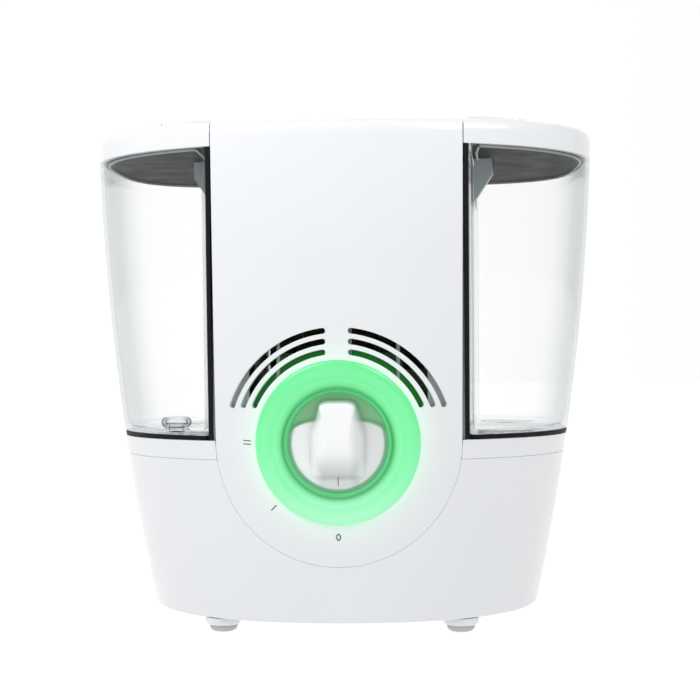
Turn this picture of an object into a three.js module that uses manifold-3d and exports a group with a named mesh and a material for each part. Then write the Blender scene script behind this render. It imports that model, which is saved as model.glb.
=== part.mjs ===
// Cool mist humidifier of the evaporative kind: a tapered white body with a front control panel between
// two clear lift-off water tanks. A fan in the central column draws room air through a pleated wick that
// stands in the base basin. Units are millimetres; +Z is up, the front faces -Y and the floor is Z = 0.

import * as THREE from "three";
import { mergeVertices } from "three/addons/utils/BufferGeometryUtils.js";
import Module from "manifold-3d";

const wasm = await Module();
wasm.setup();

// ---------------------------------------------------------------- driving dimensions

const GAP = 0.3; // clearance between pieces that touch
const SKIN = 0.2; // inner pieces end this far inside the body's face
const WALL = 3.0; // moulded wall of the white housing
const CLEAR_WALL = 2.4; // wall of the clear tanks
const HALF_WIDTH = 151.4; // half of the body's width at its rim
const HALF_DEPTH = 108; // half of the body's depth at its rim
const RIM_Z = 282.4; // height at which the body is widest
const FRONT_POWER = 2.2; // roundness of the front half of the plan outline
const BACK_POWER = 4; // the back half is squarer
const CROWN_Z = 292.8; // highest line of the arched top
const CROWN_ARCH = 0.00033; // fall of the top per square millimetre fore and aft
const EDGE_RADIUS = 6; // rounding between the sides and the top

const FOOT_Z = 8.6; // underside of the base
const FOOT_EDGE = 1.4; // rounding of the base's lower edge
const PAD_Z = 3.5; // height of the rubber foot pads
const BASE_TOP = 99.6;
const DECK_BOTTOM = 100;
const DECK_TOP = 110.8;
const SEAL_TOP = 113.3; // top of the black seal under each tank
const WINDOW_TOP = 275.5; // top of the clear tank wall
const COVER_BOTTOM = 275.8; // lower edge of the white tank crowns and of the top cover

const DIAL_Z = 109.8; // height of the knob's axis
const PANEL_RADIUS = 69.3; // round lower end of the front panel
const PANEL_HALF_TOP = 70.5; // half-width of the panel at the top
const PANEL_BACK_Y = -84; // the panel runs back over the top to here
const BEHIND_PANEL_Y = -70; // cuts made through the panel end here
const RING_OUTER = 46;
const RING_INNER = 30;
const RING_PROUD = 2.5; // how far the light ring stands out of the panel
const KNOB_RADIUS = 27.8;
const KNOB_FRONT = -107.4; // foremost point of the grip bar
const SLOT_RADII = [51, 56.9, 62.8];
const SLOT_WIDTH = 3.2;
const SLOT_GAP = 6.2; // from the centreline to the slots' upper ends
const SLOT_LOW = 19.5; // from the knob's axis up to the slots' lower ends
const GUARD_HALF = 61; // half-width of the plate behind the slots
const GUARD_OPENING = 50; // half-width of its opening
const GUARD_Z = [125, 192];
const GUARD_Y = [-90.4, -89];

const COLUMN_HALF_FRONT = 70.6; // half-width of the central column at its front corner
const COLUMN_FRONT_Y = -96;
const COLUMN_SPREAD = 14 / 196; // outward slant of the column's sides towards the back
const BULKHEAD_Y = -66; // wall between the dry control pocket and the wet side
const COLUMN_BOTTOM = DECK_TOP + GAP;
const COLUMN_TOP = COVER_BOTTOM - GAP;
const COLUMN_BACK_WALL = 2.5; // wall between the column's air path and the tanks

const TUB_FLOOR = 13;
const WELL_INNER = 22.4; // radius inside the well that takes a tank's cap
const WELL_OUTER = 24;
const WELL_FLOOR = 78;
const WELL_FLANGE = 28; // rim that holds the well under the deck
const DRAIN_RADIUS = 14; // circle on which the well's drain holes lie
const GLAND_RADIUS = 6;
const GLAND_X = 62;
const GLAND_Z = 34;
const FOOT_RADIUS = 10.5;
const PAD_RADIUS = 8;
const FOOT_PLACES = {
  front_left: [-68.5, -67.5],
  front_right: [68.5, -67.5],
  rear_left: [-72, 70],
  rear_right: [72, 70],
};

const TANK_MARGIN = 0.5; // stand-off of a tank from the column line
const NECK_X = 101; // centre of each tank's filler neck
const NECK_Y = 20;
const NECK_RADIUS = 18;
const NECK_BOTTOM = 92;
const CAP_BOTTOM = 88;
const CAP_RIBS = 6;
const VALVE_FOOT = 87;
const STRIP_EDGE = 73.8; // the tank's front inner corner is notched round the black edge strip
const STRIP_BACK = -86.6;
const POCKET_DEPTH_X = 14.6; // reach of the grip pocket into the tank, from the column line
const POCKET_START_X = 3.8; // white rim left between the column line and the grip
const POCKET_Z = [250, 266]; // the pocket's floor slopes between these heights at its front end
const POCKET_Y = [-28, 34];
const POCKET_TILT = THREE.MathUtils.degToRad(7); // rise of the pocket's floor towards the back
const BEAD_INSET = [5.2, 6.4]; // the sealing bead under the crown, measured in from the tank's face
const BEAD_Z = [274.6, 275.8];
const GRIP_Y = [-74, 62];
const GRIP_REACH_X = 32;
const GRIP_WALL = 1.6;
const FLANGE_LIFT = 2.6; // how far the grip's flange stands above the crown
const FLOAT_X = -99;
const FLOAT_Y = -45;
const FLOAT_RADIUS = 6;
const GUIDE_RADIUS = 9;

const GRILLE_HALF = 60;
const GRILLE_Z = [124, 262];
const GRILLE_PITCH = 13;
const GRILLE_SLOT = 7;
const WINDOW_RIBS = [6.7, 33.7]; // distance of the front air window's ribs from the centreline
const OUTLET_RADIUS = 52;
const OUTLET_PITCH = 9;
const OUTLET_SLOT = 5;
const FAN_Y = -3;
const FAN_RADIUS = 54;
const FAN_BLADES = 7;
const MOTOR_RADIUS = 17;
const SHROUD_Z = 238;
const SHROUD_TOP = 268;
const LAMPS = 8;
const WINDOW_Z = [150, 190]; // the front air window
const COLUMN_MOUTH_HALF = 62; // the deck's opening under the column
const COLUMN_MOUTH_Y = [-60, 90];
const CONTROL_POCKET_HALF = 66; // the deck's opening under the control pocket
const BOARD_Y = [-71.5, -69.9]; // the control board
const WICK_Y = [27, 57];
const WICK_HALF = 52;
const WICK_FOLDS = 13;
const WICK_SHEET = 3; // thickness of the wick's paper

const FAR = 200; // reach of a cutting prism that runs clear of the body

// ---------------------------------------------------------------- materials

function plastic(color, roughness, options = {}) {
  return new THREE.MeshStandardMaterial({ color, roughness, metalness: 0, ...options });
}

const MATERIALS = {
  white: plastic(0xf2f3f6, 0.22),
  clear: plastic(0xeef2f2, 0.05, { transparent: true, opacity: 0.3 }),
  seal: plastic(0x0c0c0d, 0.6),
  liner: plastic(0x4d4b4d, 0.5),
  gasket: plastic(0xb4bab8, 0.6),
  grip: plastic(0x9da5a8, 0.45),
  glow: plastic(0x7ff3a4, 0.3, { emissive: 0x3fe07a, emissiveIntensity: 0.6 }),
  knob: plastic(0xf4f6f8, 0.25),
  pad: plastic(0xb9b7b9, 0.85),
  board: plastic(0x1f6b3f, 0.5),
  dark: plastic(0x26282a, 0.5),
  wick: plastic(0xe9e4d4, 0.95),
  steel: new THREE.MeshStandardMaterial({ color: 0xb8bcc0, roughness: 0.3, metalness: 1 }),
};

// ---------------------------------------------------------------- solids from three.js geometry

function toSolid(geometry) {
  const bare = new THREE.BufferGeometry();
  const flat = geometry.index ? geometry.toNonIndexed() : geometry;
  bare.setAttribute("position", flat.getAttribute("position"));
  const merged = mergeVertices(bare, 1e-3);
  const triangles = [];
  for (let i = 0; i < merged.index.count; i += 3) {
    const [a, b, c] = merged.index.array.subarray(i, i + 3);
    if (a !== b && b !== c && c !== a) triangles.push(a, b, c);
  }
  const build = (triVerts) =>
    new wasm.Manifold(
      new wasm.Mesh({ numProp: 3, vertProperties: merged.attributes.position.array, triVerts }),
    );
  const solid = build(new Uint32Array(triangles));
  return solid.volume() < 0 ? build(new Uint32Array(triangles.reverse())) : solid;
}

function toGeometry(solid) {
  const mesh = solid.getMesh();
  const geometry = new THREE.BufferGeometry();
  geometry.setAttribute("position", new THREE.BufferAttribute(mesh.vertProperties, 3));
  geometry.setIndex(new THREE.BufferAttribute(mesh.triVerts, 1));
  geometry.computeVertexNormals();
  return geometry;
}

function joined(...solids) {
  return solids.reduce((whole, next) => whole.add(next));
}

function cut(solid, ...tools) {
  return tools.reduce((rest, tool) => rest.subtract(tool), solid);
}

function box(x, y, z) {
  const geometry = new THREE.BoxGeometry(x[1] - x[0], y[1] - y[0], z[1] - z[0]);
  geometry.translate((x[0] + x[1]) / 2, (y[0] + y[1]) / 2, (z[0] + z[1]) / 2);
  return toSolid(geometry);
}

// A plan outline, given as [x, y] points or a Shape, raised from z0 to z1.
function prismZ(outline, z0, z1, curveSegments = 12) {
  const shape = Array.isArray(outline) ? shapeOf(outline) : outline;
  const geometry = new THREE.ExtrudeGeometry(shape, { depth: z1 - z0, bevelEnabled: false, curveSegments });
  return toSolid(geometry.translate(0, 0, z0));
}

// An elevation outline, drawn in X and Z, run from y0 back to y1.
function prismY(outline, y0, y1, curveSegments = 12) {
  const shape = Array.isArray(outline) ? shapeOf(outline) : outline;
  const geometry = new THREE.ExtrudeGeometry(shape, { depth: y1 - y0, bevelEnabled: false, curveSegments });
  return toSolid(geometry.rotateX(Math.PI / 2).translate(0, y1, 0));
}

function shapeOf(points) {
  return new THREE.Shape(points.map(([x, y]) => new THREE.Vector2(x, y)));
}

// A closed profile of [radius, height] points turned about the Z axis.
function turnedZ(profile, segments = 32) {
  const points = [...profile, profile[0]].map(([r, h]) => new THREE.Vector2(r, h));
  return toSolid(new THREE.LatheGeometry(points, segments).rotateX(Math.PI / 2));
}

function tubeZ(rInner, rOuter, z0, z1, segments = 32) {
  return turnedZ([[rInner, z0], [rOuter, z0], [rOuter, z1], [rInner, z1]], segments);
}

function rodZ(radius, z0, z1, x = 0, y = 0, segments = 32) {
  const geometry = new THREE.CylinderGeometry(radius, radius, z1 - z0, segments);
  return toSolid(geometry.rotateX(Math.PI / 2).translate(x, y, (z0 + z1) / 2));
}

function rodY(radius, y0, y1, x = 0, z = 0, segments = 32) {
  const geometry = new THREE.CylinderGeometry(radius, radius, y1 - y0, segments);
  return toSolid(geometry.translate(x, (y0 + y1) / 2, z));
}

function moved(solid, x, y, z) {
  return toSolid(toGeometry(solid).translate(x, y, z));
}

function meshOf(name, solid, material) {
  const mesh = new THREE.Mesh(toGeometry(solid), MATERIALS[material]);
  mesh.name = name;
  return mesh;
}

// ---------------------------------------------------------------- body form

const OUTLINE_POINTS = 52; // divisible by four
const BODY_LEVELS = [55, 110, 165, 220, 276];

function halfWidth(z) {
  const below = RIM_Z - z;
  return HALF_WIDTH - 0.032 * below - 0.000338 * below ** 2;
}

function frontDepth(z) {
  const below = RIM_Z - z;
  return HALF_DEPTH - 0.01 * below - 0.00014 * below ** 2;
}

function backDepth(z) {
  const below = RIM_Z - z;
  return HALF_DEPTH - 0.012 * below - 0.00017 * below ** 2;
}

// A point of the plan outline at height z: a round front half joined to a squarer back half.
function outlinePoint(angle, z, inset) {
  const c = Math.cos(angle);
  const s = Math.sin(angle);
  const power = 2 / (s < 0 ? FRONT_POWER : BACK_POWER);
  const depth = (s < 0 ? frontDepth(z) : backDepth(z)) - inset;
  const x = (halfWidth(z) - inset) * Math.sign(c) * Math.abs(c) ** power;
  const y = depth * Math.sign(s) * Math.abs(s) ** power;
  return [x, y];
}

function ring(place) {
  return Array.from({ length: OUTLINE_POINTS }, (_, i) => place((i / OUTLINE_POINTS) * 2 * Math.PI));
}

function levelRing(z, inset) {
  return ring((angle) => [...outlinePoint(angle, z, inset), z]);
}

// A ring on the arched top, drop millimetres below it.
function topRing(inset, drop) {
  return ring((angle) => {
    const [x, y] = outlinePoint(angle, RIM_Z, inset);
    return [x, y, CROWN_Z - CROWN_ARCH * y * y - drop];
  });
}

// A solid through a stack of rings. Its two ends are closed by strips that run straight across in X.
function loft(rings) {
  const n = OUTLINE_POINTS;
  const indices = [];
  const last = rings.length - 1;
  for (let i = 0; i < n; i++) {
    const j = (i + 1) % n;
    for (let k = 0; k < last; k++) {
      const [a, b, c, d] = [k * n + i, k * n + j, (k + 1) * n + j, (k + 1) * n + i];
      indices.push(a, b, c, a, c, d);
    }
  }
  for (let i = -n / 4; i < n / 4; i++) {
    const [a, b] = [(i + n) % n, (i + 1 + n) % n];
    const [c, d] = [(n / 2 - i - 1 + n) % n, (n / 2 - i + n) % n];
    indices.push(a, c, b, a, d, c);
    const top = last * n;
    indices.push(top + a, top + b, top + c, top + a, top + c, top + d);
  }
  const geometry = new THREE.BufferGeometry();
  geometry.setAttribute("position", new THREE.Float32BufferAttribute(rings.flat(2), 3));
  geometry.setIndex(indices);
  return toSolid(geometry);
}

// The body's whole form, shrunk by inset, from height z0 up to the arched top.
function bodyForm(inset, z0, lift = -inset) {
  const fillet = [0, 40, 90].map((degrees) => {
    const turn = THREE.MathUtils.degToRad(degrees);
    return [EDGE_RADIUS * (1 - Math.cos(turn)), EDGE_RADIUS * (1 - Math.sin(turn))];
  });
  const rings = [
    levelRing(z0, inset),
    ...BODY_LEVELS.filter((z) => z > z0 + 1).map((z) => levelRing(z, inset)),
    ...fillet.map(([inward, drop]) => topRing(inset + inward, drop - lift)),
  ];
  return loft(rings);
}

// The body between two level planes, with no top.
function bodySlice(inset, z0, z1) {
  const between = BODY_LEVELS.filter((z) => z > z0 + 1 && z < z1 - 1);
  return loft([z0, ...between, z1].map((z) => levelRing(z, inset)));
}

const FORM = bodyForm(0, 30);
const FORM_INNER = bodyForm(WALL, 25);

// Half-width of the central column at depth y.
function columnHalf(y) {
  return COLUMN_HALF_FRONT + (y - COLUMN_FRONT_Y) * COLUMN_SPREAD;
}

// The column's plan between two depths, widened by margin on both sides.
function columnPlan(y0, y1, margin) {
  return [
    [-columnHalf(y0) - margin, y0],
    [columnHalf(y0) + margin, y0],
    [columnHalf(y1) + margin, y1],
    [-columnHalf(y1) - margin, y1],
  ];
}

// The plan region of the right tank, standing off the column by margin.
function tankPlan(margin) {
  return [
    [columnHalf(-FAR) + margin, -FAR],
    [FAR, -FAR],
    [FAR, FAR],
    [columnHalf(FAR) + margin, FAR],
  ];
}

// ---------------------------------------------------------------- base

function baseTub() {
  const edge = [[FOOT_Z, FOOT_EDGE], [FOOT_Z + FOOT_EDGE * 0.3, FOOT_EDGE * 0.3], [FOOT_Z + FOOT_EDGE, 0]];
  const levels = [...edge, [45, 0], [BASE_TOP, 0]];
  const outside = loft(levels.map(([z, inset]) => levelRing(z, inset)));
  const bulkhead = box([-FAR, FAR], [BULKHEAD_Y, BULKHEAD_Y + WALL], [TUB_FLOOR - 1, BASE_TOP]);
  const hollow = bodySlice(WALL + SKIN, TUB_FLOOR, BASE_TOP + 5);
  const dialMouth = rodY(PANEL_RADIUS + GAP, -FAR, PANEL_BACK_Y + 4, 0, DIAL_Z, 56);
  const cordHole = rodY(GLAND_RADIUS + GAP, HALF_DEPTH - 28, FAR, GLAND_X, GLAND_Z, 24);
  const shell = cut(outside, hollow.subtract(bulkhead), dialMouth);
  return shell.subtract(cordHole);
}

// A rubber-lined bush where the mains lead enters the back of the base.
function cordGland() {
  const wallY = backDepth(GLAND_Z);
  const profile = [
    [3.2, 0],
    [GLAND_RADIUS, 0],
    [GLAND_RADIUS, 6.4],
    [GLAND_RADIUS + 2.5, 6.4],
    [GLAND_RADIUS + 1.5, 9.6],
    [3.2, 9.6],
  ];
  const bush = toGeometry(turnedZ(profile, 24)).rotateX(-Math.PI / 2);
  return toSolid(bush.translate(GLAND_X, wallY - 6.0, GLAND_Z));
}

// The deck that closes the base and carries the tanks.
function waterTray() {
  const rim = bodySlice(0, DECK_BOTTOM, DECK_TOP);
  const underside = bodySlice(WALL + SKIN, DECK_BOTTOM - 5, DECK_TOP - WALL);
  const through = [DECK_BOTTOM - 5, DECK_TOP + 5];
  const pocket = box([-CONTROL_POCKET_HALF, CONTROL_POCKET_HALF], [-FAR, BULKHEAD_Y - 1.5], through);
  const panelRoom = box([-PANEL_RADIUS - GAP, PANEL_RADIUS + GAP], [-FAR, PANEL_BACK_Y], through);
  const columnMouth = box([-COLUMN_MOUTH_HALF, COLUMN_MOUTH_HALF], COLUMN_MOUTH_Y, through);
  const holes = [-1, 1].map((side) => rodZ(WELL_OUTER + GAP, ...through, side * NECK_X, NECK_Y, 28));
  const guideHole = rodZ(GUIDE_RADIUS + GAP, ...through, FLOAT_X, FLOAT_Y, 20);
  return cut(rim, underside, pocket, panelRoom, columnMouth, ...holes, guideHole);
}

// The cup under a tank's cap. Its post pushes the valve open, and its drain holes let the water out.
function tankWell() {
  const under = DECK_TOP - WALL - GAP;
  const cup = turnedZ([
    [0, WELL_FLOOR],
    [WELL_OUTER, WELL_FLOOR],
    [WELL_OUTER, under - 2],
    [WELL_FLANGE, under - 2],
    [WELL_FLANGE, under],
    [WELL_OUTER, under],
    [WELL_OUTER, DECK_TOP],
    [WELL_INNER, DECK_TOP],
    [WELL_INNER, WELL_FLOOR + 2.5],
    [0, WELL_FLOOR + 2.5],
  ], 28);
  const drains = [45, 135, 225, 315].map((turn) => {
    const angle = THREE.MathUtils.degToRad(turn);
    return rodZ(4, 70, 90, DRAIN_RADIUS * Math.cos(angle), DRAIN_RADIUS * Math.sin(angle), 10);
  });
  return cut(cup, ...drains).add(rodZ(2.5, WELL_FLOOR + 1, VALVE_FOOT - GAP, 0, 0, 12));
}

// The open cup that keeps the float upright.
function floatGuide() {
  const [inner, low, high] = [6.8, 82, DECK_TOP];
  const outside = [[3, low], [GUIDE_RADIUS, low], [GUIDE_RADIUS, high]];
  return turnedZ([...outside, [inner, high], [inner, low + 2], [3, low + 2]], 20);
}

function lowWaterFloat() {
  const [low, shoulder, top, stem] = [84.4, 100, 112.4, 2.6];
  const body = [[0, low], [FLOAT_RADIUS, low], [FLOAT_RADIUS, shoulder]];
  return turnedZ([...body, [stem, shoulder + 2], [stem, top], [0, top]], 16);
}

function addFeet(group) {
  const foot = rodZ(FOOT_RADIUS, PAD_Z + GAP, FOOT_Z - GAP, 0, 0, 24);
  const chamfer = [[PAD_RADIUS - 0.8, 0], [PAD_RADIUS, 0.8]];
  const pad = turnedZ([[0, 0], ...chamfer, [PAD_RADIUS, PAD_Z], [0, PAD_Z]], 24);
  for (const [corner, [x, y]] of Object.entries(FOOT_PLACES)) {
    const stand = new THREE.Group();
    stand.position.set(x, y, 0);
    stand.add(meshOf(`foot_${corner}`, foot, "white"), meshOf(`foot_pad_${corner}`, pad, "pad"));
    group.add(stand);
  }
}

// ---------------------------------------------------------------- front panel and dial

// Elevation of the panel: straight sides that spread a little towards the top, round at the bottom.
function panelOutline() {
  const shape = new THREE.Shape();
  shape.moveTo(PANEL_HALF_TOP, FAR + DIAL_Z);
  shape.lineTo(-PANEL_HALF_TOP, FAR + DIAL_Z);
  shape.absarc(0, DIAL_Z, PANEL_RADIUS, Math.PI, 2 * Math.PI, false);
  return shape;
}

// Points along an arc in elevation.
function arcPoints(x, z, radius, from, to, steps) {
  return Array.from({ length: steps + 1 }, (_, i) => {
    const angle = from + ((to - from) * i) / steps;
    return [x + radius * Math.cos(angle), z + radius * Math.sin(angle)];
  });
}

// One arc slot to the right of the centreline, concentric with the dial, with round ends.
function slotOutline(radius) {
  const half = SLOT_WIDTH / 2;
  const low = Math.asin((SLOT_LOW + half) / radius);
  const high = Math.acos((SLOT_GAP + half) / radius);
  const end = (angle) => [radius * Math.cos(angle), DIAL_Z + radius * Math.sin(angle)];
  return [
    ...arcPoints(0, DIAL_Z, radius + half, low, high, 7),
    ...arcPoints(...end(high), half, high + 0.6, high + Math.PI - 0.6, 3),
    ...arcPoints(0, DIAL_Z, radius - half, high, low, 7),
    ...arcPoints(...end(low), half, low + Math.PI + 0.6, low + 2 * Math.PI - 0.6, 3),
  ];
}

function frontPanel() {
  const front = prismY(panelOutline(), -FAR, PANEL_BACK_Y, 28);
  let panel = FORM.intersect(front).subtract(FORM_INNER);
  panel = panel.subtract(rodY(RING_OUTER + GAP, -FAR, BEHIND_PANEL_Y, 0, DIAL_Z, 48));
  for (const radius of SLOT_RADII) {
    const slot = prismY(slotOutline(radius), -FAR, BEHIND_PANEL_Y);
    const twin = toSolid(toGeometry(slot).scale(-1, 1, 1));
    panel = cut(panel, slot, twin);
  }
  return panel;
}

// The glowing ring follows the panel's curve and stands a little proud of it.
function lightRing() {
  const annulus = rodY(RING_OUTER, -FAR, BEHIND_PANEL_Y, 0, DIAL_Z, 48).subtract(
    rodY(RING_INNER, -FAR - 5, BEHIND_PANEL_Y + 5, 0, DIAL_Z, 48),
  );
  const proud = bodyForm(-RING_PROUD, 30, RING_PROUD);
  return annulus.intersect(proud).subtract(FORM_INNER);
}

// The round well that the knob sits in.
function knobWell() {
  const [radius, shaftHole, depth, skin, back] = [RING_INNER - GAP, 4, 11.5, 1.2, 1.5];
  const profile = [
    [shaftHole, 0],
    [radius, 0],
    [radius, depth],
    [radius - skin, depth],
    [radius - skin, back],
    [shaftHole, back],
  ];
  return facingFront(turnedZ(profile, 36), -90);
}

// Turns a solid made about Z so that its axis points forward, with its back plane at y.
function facingFront(solid, y) {
  return toSolid(toGeometry(solid).rotateX(Math.PI / 2).translate(0, y, DIAL_Z));
}

// Elevation of the grip bar: an upright bar with a narrow waist and a round top and bottom.
function gripOutline() {
  const shape = new THREE.Shape();
  const [half, waist, corner, tip] = [10.8, 3.2, 23, 30.5];
  shape.moveTo(-half, DIAL_Z - corner);
  shape.quadraticCurveTo(0, DIAL_Z - tip, half, DIAL_Z - corner);
  shape.quadraticCurveTo(waist, DIAL_Z, half, DIAL_Z + corner);
  shape.quadraticCurveTo(0, DIAL_Z + tip, -half, DIAL_Z + corner);
  shape.quadraticCurveTo(-waist, DIAL_Z, -half, DIAL_Z - corner);
  return shape;
}

function knob() {
  const profile = [[0, 0], [KNOB_RADIUS, 0], [KNOB_RADIUS, 4], [16, 2.6], [0, 2.6]];
  const dish = facingFront(turnedZ(profile, 40), -94.4);
  const bar = prismY(gripOutline(), KNOB_FRONT, -96, 10);
  return dish.add(bar);
}

function knobShaft() {
  const rod = rodY(3, -94.1, -84.3, 0, DIAL_Z, 20);
  return rod.subtract(box([-5, 5], [-95, -89], [DIAL_Z + 2, DIAL_Z + 5]));
}

// A plate behind the arc slots, open across the middle with upright ribs.
function slotGuard() {
  let plate = box([-GUARD_HALF, GUARD_HALF], GUARD_Y, GUARD_Z);
  const edges = [...WINDOW_RIBS, GUARD_OPENING + 1];
  const bays = [[1 - edges[0], edges[0] - 1]];
  for (let i = 0; i + 1 < edges.length; i++) bays.push([edges[i] + 1, edges[i + 1] - 1]);
  for (const [x0, x1] of bays) {
    for (const bay of [[x0, x1], [-x1, -x0]]) {
      plate = plate.subtract(box(bay, [-100, -85], [GUARD_Z[0] + 5, GUARD_Z[1] - 5]));
    }
  }
  return cut(plate, rodY(RING_OUTER + 1, -100, -85, 0, DIAL_Z, 48));
}

// A ring that carries the lamps' light out behind the innermost slots.
function lightGuide() {
  return facingFront(tubeZ(RING_OUTER + 0.6, RING_OUTER + 8, 0, 1.2, 40), GUARD_Y[1] + GAP + 1.2);
}

// The ring-shaped board behind the light ring, with a lamp every few degrees.
function ledBoard() {
  const [thickness, lampCircle, lampSize, lampHeight] = [1.6, 38, 3.4, 1.4];
  const plate = tubeZ(RING_INNER + 1, RING_OUTER - 1, 0, thickness, 28);
  const lamps = Array.from({ length: LAMPS }, (_, i) => {
    const angle = (i / LAMPS) * 2 * Math.PI;
    const at = [lampCircle * Math.cos(angle), lampCircle * Math.sin(angle), thickness + 0.6];
    return toSolid(new THREE.BoxGeometry(lampSize, lampSize, lampHeight).translate(...at));
  });
  return facingFront(joined(plate, ...lamps), -88.4);
}

// The switch that the knob turns, with a fixing lug above and below.
function rotarySwitch() {
  const [front, back, half, lugHalf, lugReach] = [-84, BOARD_Y[0] - GAP, 10, 4, 16];
  const body = box([-half, half], [front, back], [DIAL_Z - half, DIAL_Z + half]);
  return body.add(box([-lugHalf, lugHalf], [front + 4, back], [DIAL_Z - lugReach, DIAL_Z + lugReach]));
}

// The upright board behind the switch with its three largest components.
function controlBoard() {
  const foot = BOARD_Y[0] + 0.5;
  const plate = box([-36, 36], BOARD_Y, [66, 160]);
  const relay = box([-30, -12], [-84, foot], [130, 146]);
  const capacitor = rodY(6, -86, foot, 20, 138, 20);
  const transformer = box([-14, 14], [-87, foot], [70, 88]);
  return joined(plate, relay, capacitor, transformer);
}

// ---------------------------------------------------------------- column, covers and air path

function columnShell() {
  const outside = prismZ(columnPlan(STRIP_BACK, FAR, -GAP), COLUMN_BOTTOM, COLUMN_TOP);
  const room = bodySlice(WALL + SKIN, 50, COLUMN_TOP + 10);
  const inset = -GAP - COLUMN_BACK_WALL;
  const wetPlan = columnPlan(BULKHEAD_Y + COLUMN_BACK_WALL, FAR, inset);
  const wet = prismZ(wetPlan, 0, FAR + COLUMN_TOP).intersect(room);
  const dry = prismZ(columnPlan(-100, BULKHEAD_Y, inset), 0, FAR + COLUMN_TOP);
  const rearWindow = box([-GRILLE_HALF, GRILLE_HALF], [90, FAR], GRILLE_Z);
  const frontWindow = box([-GUARD_OPENING, GUARD_OPENING], [BULKHEAD_Y - 5, BULKHEAD_Y + 5], WINDOW_Z);
  const trimmed = outside.intersect(bodySlice(SKIN, 40, COLUMN_TOP));
  const walls = cut(trimmed, wet, dry, rearWindow, frontWindow);
  return joined(walls, ...frontRibs());
}

// Upright ribs across the front air window.
function frontRibs() {
  return WINDOW_RIBS.flatMap((x) => [-x, x]).map((x) =>
    box([x - 1, x + 1], [BULKHEAD_Y, BULKHEAD_Y + COLUMN_BACK_WALL], [WINDOW_Z[0] - 1, WINDOW_Z[1] + 1]),
  );
}

function rearGrille() {
  const window = box(
    [-GRILLE_HALF + 0.4, GRILLE_HALF - 0.4],
    [90, FAR],
    [GRILLE_Z[0] + 0.4, GRILLE_Z[1] - 0.4],
  );
  let skin = window.intersect(bodySlice(SKIN, 100, 275)).subtract(bodySlice(WALL + 0.4, 95, 280));
  for (let z = GRILLE_Z[0] + GRILLE_SLOT; z < GRILLE_Z[1] - 10; z += GRILLE_PITCH) {
    for (const across of [[-54, -2], [2, 54]]) {
      skin = skin.subtract(box(across, [80, FAR], [z, z + GRILLE_SLOT]));
    }
  }
  return skin;
}

// The lift-off top cover, with an outlet of cross slots over the fan.
function topCover() {
  const plan = columnPlan(-83.7, FAR, -GAP);
  const inner = columnPlan(-83.7 + WALL, FAR, -GAP - WALL);
  const outside = FORM.intersect(prismZ(plan, COVER_BOTTOM, FAR + COLUMN_TOP));
  let cover = outside.subtract(FORM_INNER.intersect(prismZ(inner, 0, FAR + COLUMN_TOP)));
  for (let y = -5 * OUTLET_PITCH; y <= 5 * OUTLET_PITCH; y += OUTLET_PITCH) {
    const half = Math.sqrt(OUTLET_RADIUS ** 2 - y ** 2);
    const depth = [FAN_Y + y - OUTLET_SLOT / 2, FAN_Y + y + OUTLET_SLOT / 2];
    for (const width of [[-half, -2], [2, half]]) {
      cover = cover.subtract(box(width, depth, [COVER_BOTTOM + 8, FAR + CROWN_Z]));
    }
  }
  return cover;
}

// The round collar that the impeller turns in.
function fanShroud() {
  return moved(tubeZ(FAN_RADIUS + 2, FAN_RADIUS + 4.5, SHROUD_Z, SHROUD_TOP, 40), 0, FAN_Y, 0);
}

// The plate that closes the column round the collar.
function fanDeck() {
  const plate = prismZ(columnPlan(BULKHEAD_Y + 3, 99.5, -GAP - 3), SHROUD_Z, SHROUD_Z + 3);
  return plate.subtract(rodZ(FAN_RADIUS + 4.5 + GAP, SHROUD_Z - 5, SHROUD_Z + 5, 0, FAN_Y, 40));
}

function fanImpeller() {
  const hub = turnedZ([[2.8, 0], [16, 0], [16, 14], [13, 17], [0, 17], [0, 10], [2.8, 10]], 20);
  const blades = Array.from({ length: FAN_BLADES }, (_, i) => {
    const blade = new THREE.BoxGeometry(FAN_RADIUS - 14, 26, 1.8);
    blade.rotateX(THREE.MathUtils.degToRad(32)).translate((FAN_RADIUS + 14) / 2, 0, 7.8);
    return toSolid(blade.rotateZ((i / FAN_BLADES) * 2 * Math.PI));
  });
  return joined(hub, ...blades);
}

function fanMotor() {
  const [low, shoulder, top] = [216, 237.5, 239];
  const side = [[MOTOR_RADIUS - 2, low], [MOTOR_RADIUS, low + 2], [MOTOR_RADIUS, shoulder]];
  return turnedZ([[0, low], ...side, [8, top], [0, top]], 20);
}

// Three arms from a collar round the motor out to the underside of the shroud.
function motorBracket() {
  const collar = tubeZ(MOTOR_RADIUS + GAP, 20, 230, SHROUD_Z - GAP, 24);
  const arms = [90, 210, 330].map((turn) => {
    const arm = new THREE.BoxGeometry(FAN_RADIUS - 15, 6, 3.2).translate((FAN_RADIUS + 21) / 2, 0, 236.1);
    return toSolid(arm.rotateZ(THREE.MathUtils.degToRad(turn)));
  });
  return joined(collar, ...arms);
}

// ---------------------------------------------------------------- wick

// A folded paper wick: an even zigzag of thick sheet standing in the basin.
function wickFilter() {
  const pitch = (2 * WICK_HALF) / WICK_FOLDS;
  const across = WICK_SHEET * 2.6; // the sheet measured front to back on a fold's slant
  const near = [];
  const far = [];
  for (let i = 0; i <= WICK_FOLDS; i++) {
    const x = -WICK_HALF + i * pitch;
    const y = i % 2 ? WICK_Y[0] : WICK_Y[1] - across;
    near.push([x, y]);
    far.unshift([x, y + across]);
  }
  return prismZ([...near, ...far], 17, 226);
}

function wickFrame() {
  const [width, depth] = [WICK_HALF + 4, [WICK_Y[0] - 3, WICK_Y[1] + 3]];
  const outside = box([-width, width], depth, [TUB_FLOOR + GAP, 230]);
  const bay = box([3 - width, width - 3], [WICK_Y[0] - 10, WICK_Y[1] + 10], [16.5, 227]);
  return outside.subtract(bay);
}

// ---------------------------------------------------------------- tanks

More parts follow.
